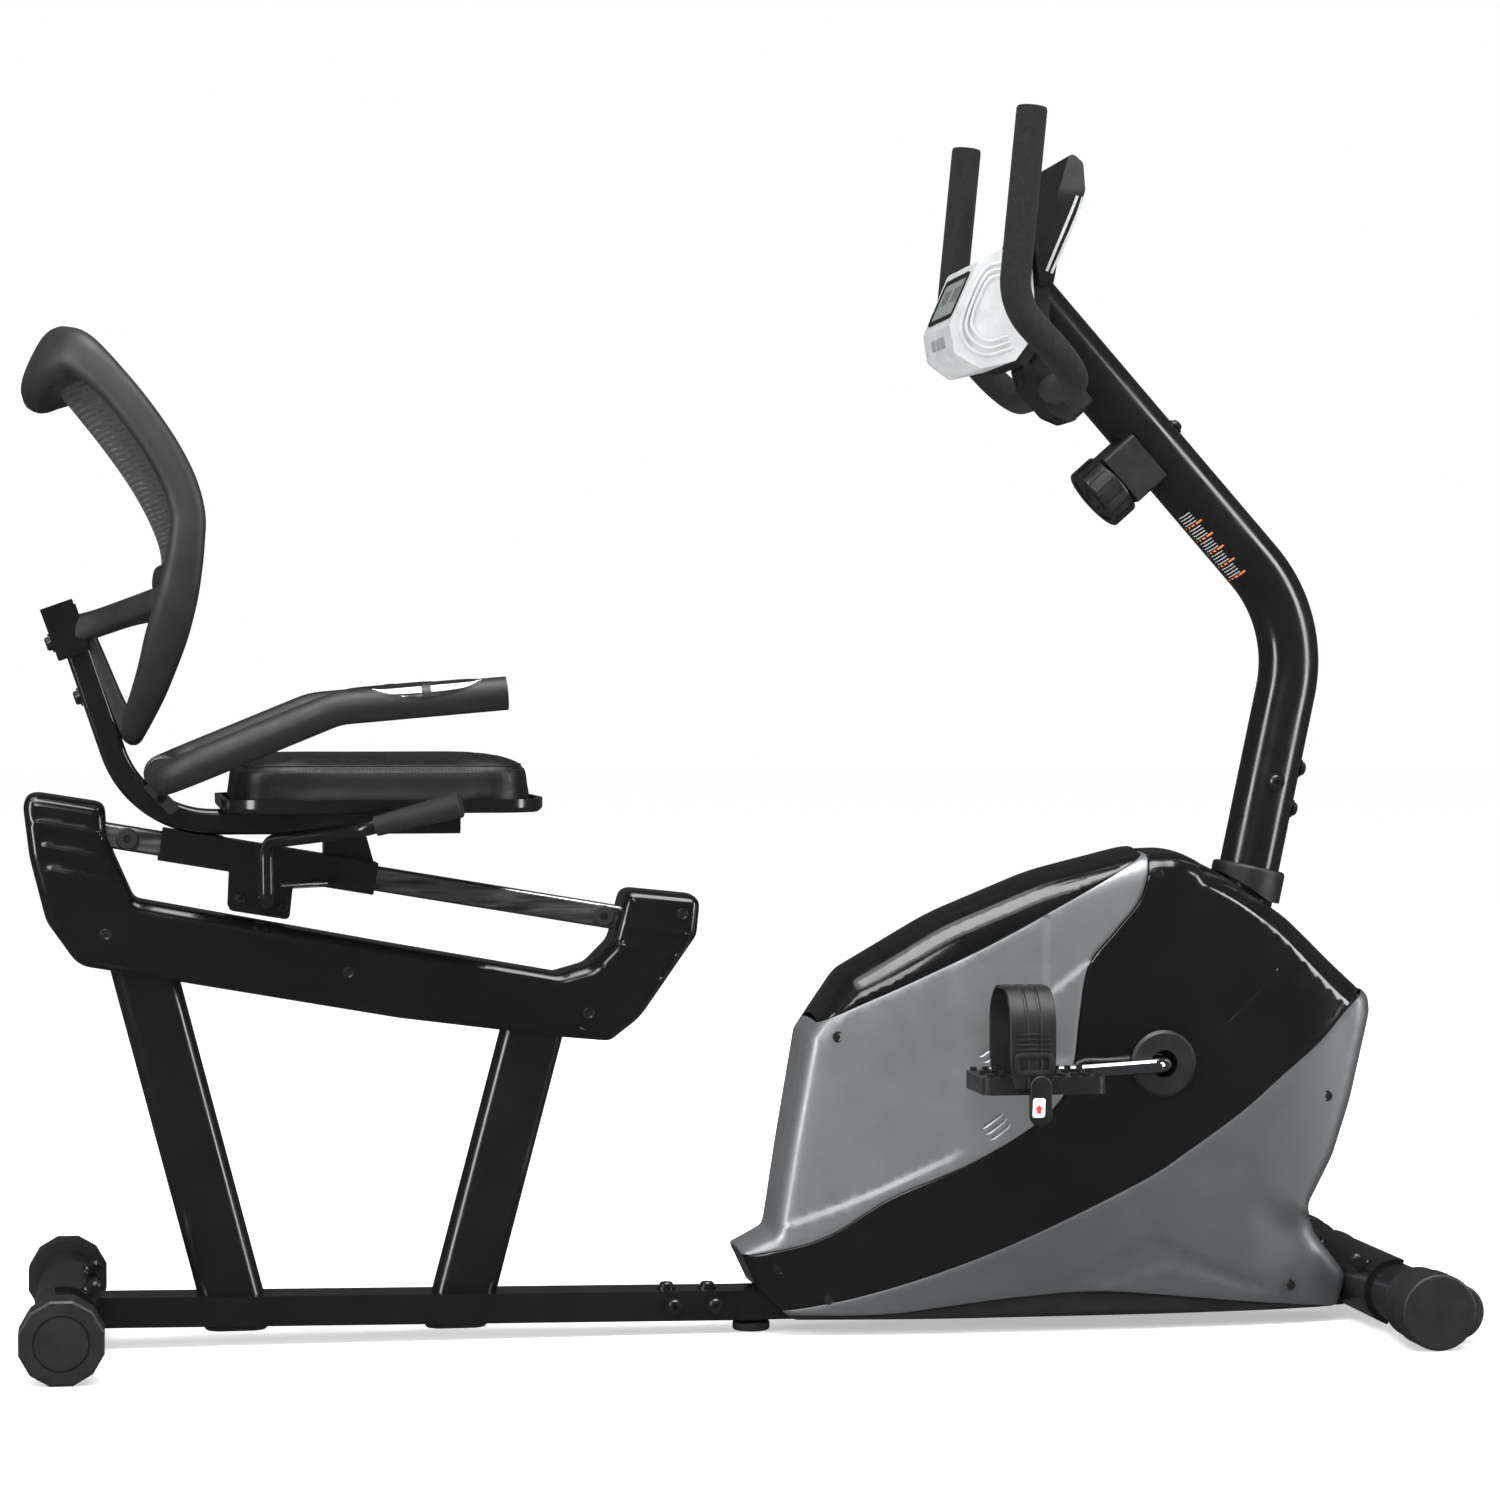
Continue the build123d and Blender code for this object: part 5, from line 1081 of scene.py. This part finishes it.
# radius, distance out of the surface
SCREW_PROFILE = [(5.6, -1.5), (5.6, 0.30), (5.2, 0.55), (4.7, 0.50), (4.2, 0.12), (2.5, 0.10),
                 (2.2, 0.45), (0.4, 0.5)]


def screw_heads(name, places, height):
    """Countersunk screws with a socket, one on each side at every place of the side view."""
    for i, ((x, z), y) in enumerate(zip(places, height(plane_array(places)))):
        for side, end in SIDES:
            start, out = (x, side * y, z), (x, side * (y + 1), z)
            turned(f"{name}_{i}_{end}", start, out, SCREW_PROFILE, "frame", "black_zinc", 24)


def bar_patch(start, end, half_turn, radius, flip, span=(0.0, 1.0)):
    """Boat-shaped patch on a round bar, turned from the top towards the outer side."""
    cells, shape, turn = (40, 10), 2.4, 0.5
    start, end = Vector(start), Vector(end)
    run = (end - start).normalized()
    up = (Vector((0, 0, 1)) - run * run.z).normalized()
    out = Vector((0, flip, 0))
    points = []
    for i in range(cells[0] + 1):
        t = span[0] + (span[1] - span[0]) * i / cells[0]
        wide = half_turn * max(0.02, 1 - abs(2 * t - 1) ** shape)
        for j in range(cells[1] + 1):
            a = turn + wide * (2 * j / cells[1] - 1)
            lift = radius - 0.5 * abs(2 * j / cells[1] - 1) ** 6
            points.append(start.lerp(end, t) + up * math.cos(a) * lift + out * math.sin(a) * lift)
    return points, grid_faces(*cells)


def make_pulse_sensors():
    """Chrome contact plates let into the top of both arms, each with a dark rim and a middle band."""
    for side, end in SIDES:
        first, last = (-397, side * 245, 637.6), (-284, side * 245, 647.7)
        rim = bar_patch(first, last, 0.98, 16.5, side)
        plate = bar_patch((-392, side * 245, 638.1), (-289, side * 245, 647.2), 0.86, 17.1, side)
        band = bar_patch(first, last, 0.93, 17.6, side, span=(0.45, 0.53))
        made = piece("sensor_rim_" + end, *rim, "seat", "bar_coating", look=DARK_RIM)
        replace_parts(made, "pulse_sensors")
        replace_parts(piece("sensor_plate_" + end, *plate, "seat", "chrome"), "pulse_sensors")
        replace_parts(piece("sensor_band_" + end, *band, "seat", "bar_coating", look=DARK_RIM), "pulse_sensors")


def on_plane(centre, across, up):
    """Function that places x, y and a lift on the plane through the centre."""
    centre, across, up = Vector(centre), Vector(across).normalized(), Vector(up).normalized()
    out = across.cross(up)
    return lambda x, y, lift: centre + across * x + up * y + out * lift


def rectangle(w, h, corner, step):
    """Outline of half width w and half height h with rounded corners."""
    return rounded_loop([(-w, -h), (w, -h), (w, h), (-w, h)], [corner] * 4, step)


def rounded_plate(centre, across, up, width, height, corner, thick):
    """Rounded rectangle with a thickness, lying on a surface; its front faces across x up."""
    place = on_plane(centre, across, up)
    loop = rectangle(width / 2, height / 2, corner, 1.0)
    points = []
    rows = ((0.0, 0.0), (thick * 0.7, 0.0), (thick, thick * 0.5))
    for lift, inset in rows:
        for p in loop:
            q = p * (1 - inset / max(p.length, 1e-6))
            points.append(place(q.x, q.y, lift))
    return points, skin(len(rows), len(loop)) + end_caps(len(rows), len(loop))[::-1]


def flat_frame(centre, across, up, width, height, border, thick):
    """Rectangular frame round an opening, lying on a surface."""
    place = on_plane(centre, across, up)
    corner = 2.0
    rows = ((border, 0.0), (border, thick), (border - 0.6, thick + 0.3), (0.6, thick + 0.3),
            (0.0, thick), (0.0, -2.0))
    points = [place(x, y, lift) for grow, lift in rows
              for x, y in rectangle(width / 2 + grow, height / 2 + grow, corner + grow, 400.0)]
    return points, skin(len(rows), len(points) // len(rows))


def side_strips(name, line, half_at, slope, half_deep, half_wide, sides, power):
    """Thin rounded strip along a side-view line on both sides; half_at gives the half width at a height."""
    for side, end in SIDES:
        rings = []
        for i, p in enumerate(line):
            ahead = along(line, i)
            tangent = Vector((ahead.x, side * slope * ahead.y, ahead.y))
            place = Vector((p.x, side * half_at(p.y), p.y))
            out = Vector((0, side, 0))
            rings.append(section_ring(place, tangent, out, half_deep, half_wide, sides, power))
        ribbon(f"{name}_{end}", rings, "frame", "console_silver", sharp_deg=60)


# side view of the console's edge where its ribs run, and the middle that they shrink towards
RIB_LINE = [(256, 1099), (229, 1086), (201, 1022), (206, 993), (231, 977), (268, 986)]
RIB_MIDDLE, RIB_REACH = Vector((250, 1040)), 62
HOUSING_HALF = 72.0
SCREEN = Vector((215, 0, 1054))


def make_console():
    """Stepped ribs on the console's sides, its screen's dark border and the digits on it."""
    for step, inset in enumerate((14, 21, 28)):
        line = [RIB_MIDDLE + (Vector(p) - RIB_MIDDLE) * (1 - inset / RIB_REACH) for p in RIB_LINE]
        half = HOUSING_HALF + 0.2
        side_strips(f"console_rib_{step}", smooth_line(line, 3.0), lambda z: half, 0, 1.5, 1.7, 12, 2.4)
    normal = Vector((-0.916, 0, 0.401))
    across = Vector((0, -1, 0))
    up = normal.cross(across)
    border = flat_frame(SCREEN + normal * 0.15, across, up, 104, 42, 5, 0.9)
    piece("screen_border", *border, "frame", "holder_plastic")
    digits = []
    for i in (-3, -2, -1, 1, 2, 3):
        place = SCREEN + normal * 0.1 + across * (11.5 * i) + up * 4
        digits.extend(seven_segments(place, across, up, 6.5, 15))
    piece("screen_digits", *merged(digits), "frame", "screen", look=LCD_DARK)


def seven_segments(centre, across, up, width, height):
    """All seven bars of a blank display digit."""
    bars = [((0, -0.5), True), ((0, 0), True), ((0, 0.5), True)]
    bars += [((x, y), False) for x in (-0.5, 0.5) for y in (-0.25, 0.25)]
    made = []
    for (x, y), level in bars:
        size = (width * 0.72, 1.2) if level else (1.2, height * 0.4)
        place = centre + across * (x * width) + up * (y * height)
        made.append(rounded_plate(place, across, up, *size, 0.4, 0.15))
    return made


def make_tablet_bands():
    """Satin silver bands let into both side edges of the tablet holder, which widens upwards."""
    lines = {"inner": ((298, 1076), (306, 1098), (318, 1130), (325, 1150)),
             "outer": ((303, 1074), (312, 1096), (325, 1129), (331, 1149))}
    for name, line in lines.items():
        side_strips("holder_band_" + name, smooth_line(line, 4.0), lambda z: 76 + 24 * (z - 1058) / 92 - 0.2,
                    24 / 92, 0.9, 1.5, 10, 3)


def on_pedal(side, x, z):
    """Place beside the right pedal, or the same place beside the left one, half a turn away."""
    return (x, z) if side < 0 else (2 * CRANK_X - x, 2 * CRANK_Z - z)


def make_pedal_badges():
    """Rounded white badge on each pedal's outer face with a plain red arrow on it."""
    for side, end in SIDES:
        across = Vector((-side, 0, 0))
        up = Vector((0.05, 0, 1)).normalized()
        x, z = on_pedal(side, *BADGE)
        centre = Vector((x, side * 219.1, z))
        plate = rounded_plate(centre, across, up, 12.5, 19, 3.0, 0.7)
        piece("pedal_badge_" + end, *plate, "pedal_" + end, "pedal_plastic", look=LABEL_WHITE)
        out = across.cross(up)
        arrow = [(-2.2, -3.5), (2.2, -3.5), (2.2, 0.5), (4.2, 0.5), (0, 5.0), (-4.2, 0.5), (-2.2, 0.5)]
        points = [centre + across * a + up * (b - 2) + out * lift for lift in (0.85, 0.5) for a, b in arrow]
        n = len(arrow)
        faces = [tuple(range(n)), tuple(reversed(range(n, 2 * n)))]
        faces += [(i, (i + 1) % n, n + (i + 1) % n, n + i) for i in range(n)]
        piece("pedal_arrow_" + end, points, faces, "pedal_" + end, "pedal_plastic", look=LABEL_RED)


STRAP_X = 253.0
PEDAL_INNER, PEDAL_OUTER, PEDAL_Z, STRAP_RISE = 123.0, 212.0, 265.2, 94.0


def strap_section(place, tangent, width):
    """Flat band section with rounded edges and two lengthwise grooves on its outer face."""
    across, out = Vector((1, 0, 0)), tangent.normalized().cross(Vector((1, 0, 0)))
    half = width / 2
    outer = [(-half, 0.6), (-half + 1, 1.7), (-8.5, 1.8), (-7.5, 0.7), (-5.5, 0.7), (-4.5, 1.8),
             (4.5, 1.8), (5.5, 0.7), (7.5, 0.7), (8.5, 1.8), (half - 1, 1.7), (half, 0.6)]
    inner = [(half, -0.6), (half - 1, -1.5), (-half + 1, -1.5), (-half, -0.6)]
    return [place + across * x + out * lift for x, lift in outer + inner]


def make_pedal_straps():
    """Grooved toe straps with a buckle on the outer side."""
    path = [(PEDAL_INNER - 2, -6), (PEDAL_INNER - 2, 40), (PEDAL_INNER + 1, 70), (PEDAL_INNER + 20, 91),
            (PEDAL_INNER + 45, STRAP_RISE), (PEDAL_OUTER - 20, 91), (PEDAL_OUTER - 1, 70),
            (PEDAL_OUTER + 2, 40), (PEDAL_OUTER + 2, -2)]
    for side, end in SIDES:
        body = "pedal_" + end
        x0, z0 = on_pedal(side, STRAP_X, PEDAL_Z)
        line = smooth_line(path, 4.0)
        rings = []
        for i, p in enumerate(line):
            ahead = along(line, i)
            tangent = Vector((0, side * ahead.x, ahead.y))
            width = 46 - 8 * math.exp(-((p.y + 4) / 18) ** 2)
            rings.append(strap_section(Vector((x0, side * p.x, z0 + p.y)), tangent * -side, width))
        band = ribbon("toe_strap_" + end, rings, body, "strap_plastic", sharp_deg=35)
        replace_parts(band, "pedal_strap_" + end)
        across, up = Vector((-side, 0, 0)), Vector((0, 0, 1))
        face = side * (PEDAL_OUTER + 3.6)
        buckle = flat_frame((x0, face, z0 + 22), across, up, 30, 12, 5, 2.4)
        piece("strap_buckle_" + end, *buckle, body, "strap_plastic")
        teeth = [rounded_plate((x0, face, z0 + z), across, up, 34, 2.2, 0.9, 1.2) for z in (36, 41, 46, 51)]
        piece("strap_teeth_" + end, *merged(teeth), body, "strap_plastic")


make_camera()
make_world()
make_lights()
make_floor()
paint_frame()
POD_SHELL = Pod()
POD_SHELL.build()
BOAT_SHELL = RailCover()
BOAT_SHELL.build()
make_backrest()
make_back_mesh()
make_cushion()
make_tick_label()
make_pulse_sensors()
make_console()
make_tablet_bands()
make_pedal_badges()
make_pedal_straps()
screw_heads("pod_screw", POD_SCREWS, POD_SHELL.height)
screw_heads("cover_screw", BOAT_SCREWS, BOAT_SHELL.height)
SPRING = coil("lever_coil_spring", (-470, -50, 459), (-424, -50, 461), 3.0, 0.55, 34, "seat", "bright_steel")
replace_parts(SPRING, "lever_spring")

bpy.context.scene.view_settings.view_transform = "Standard"
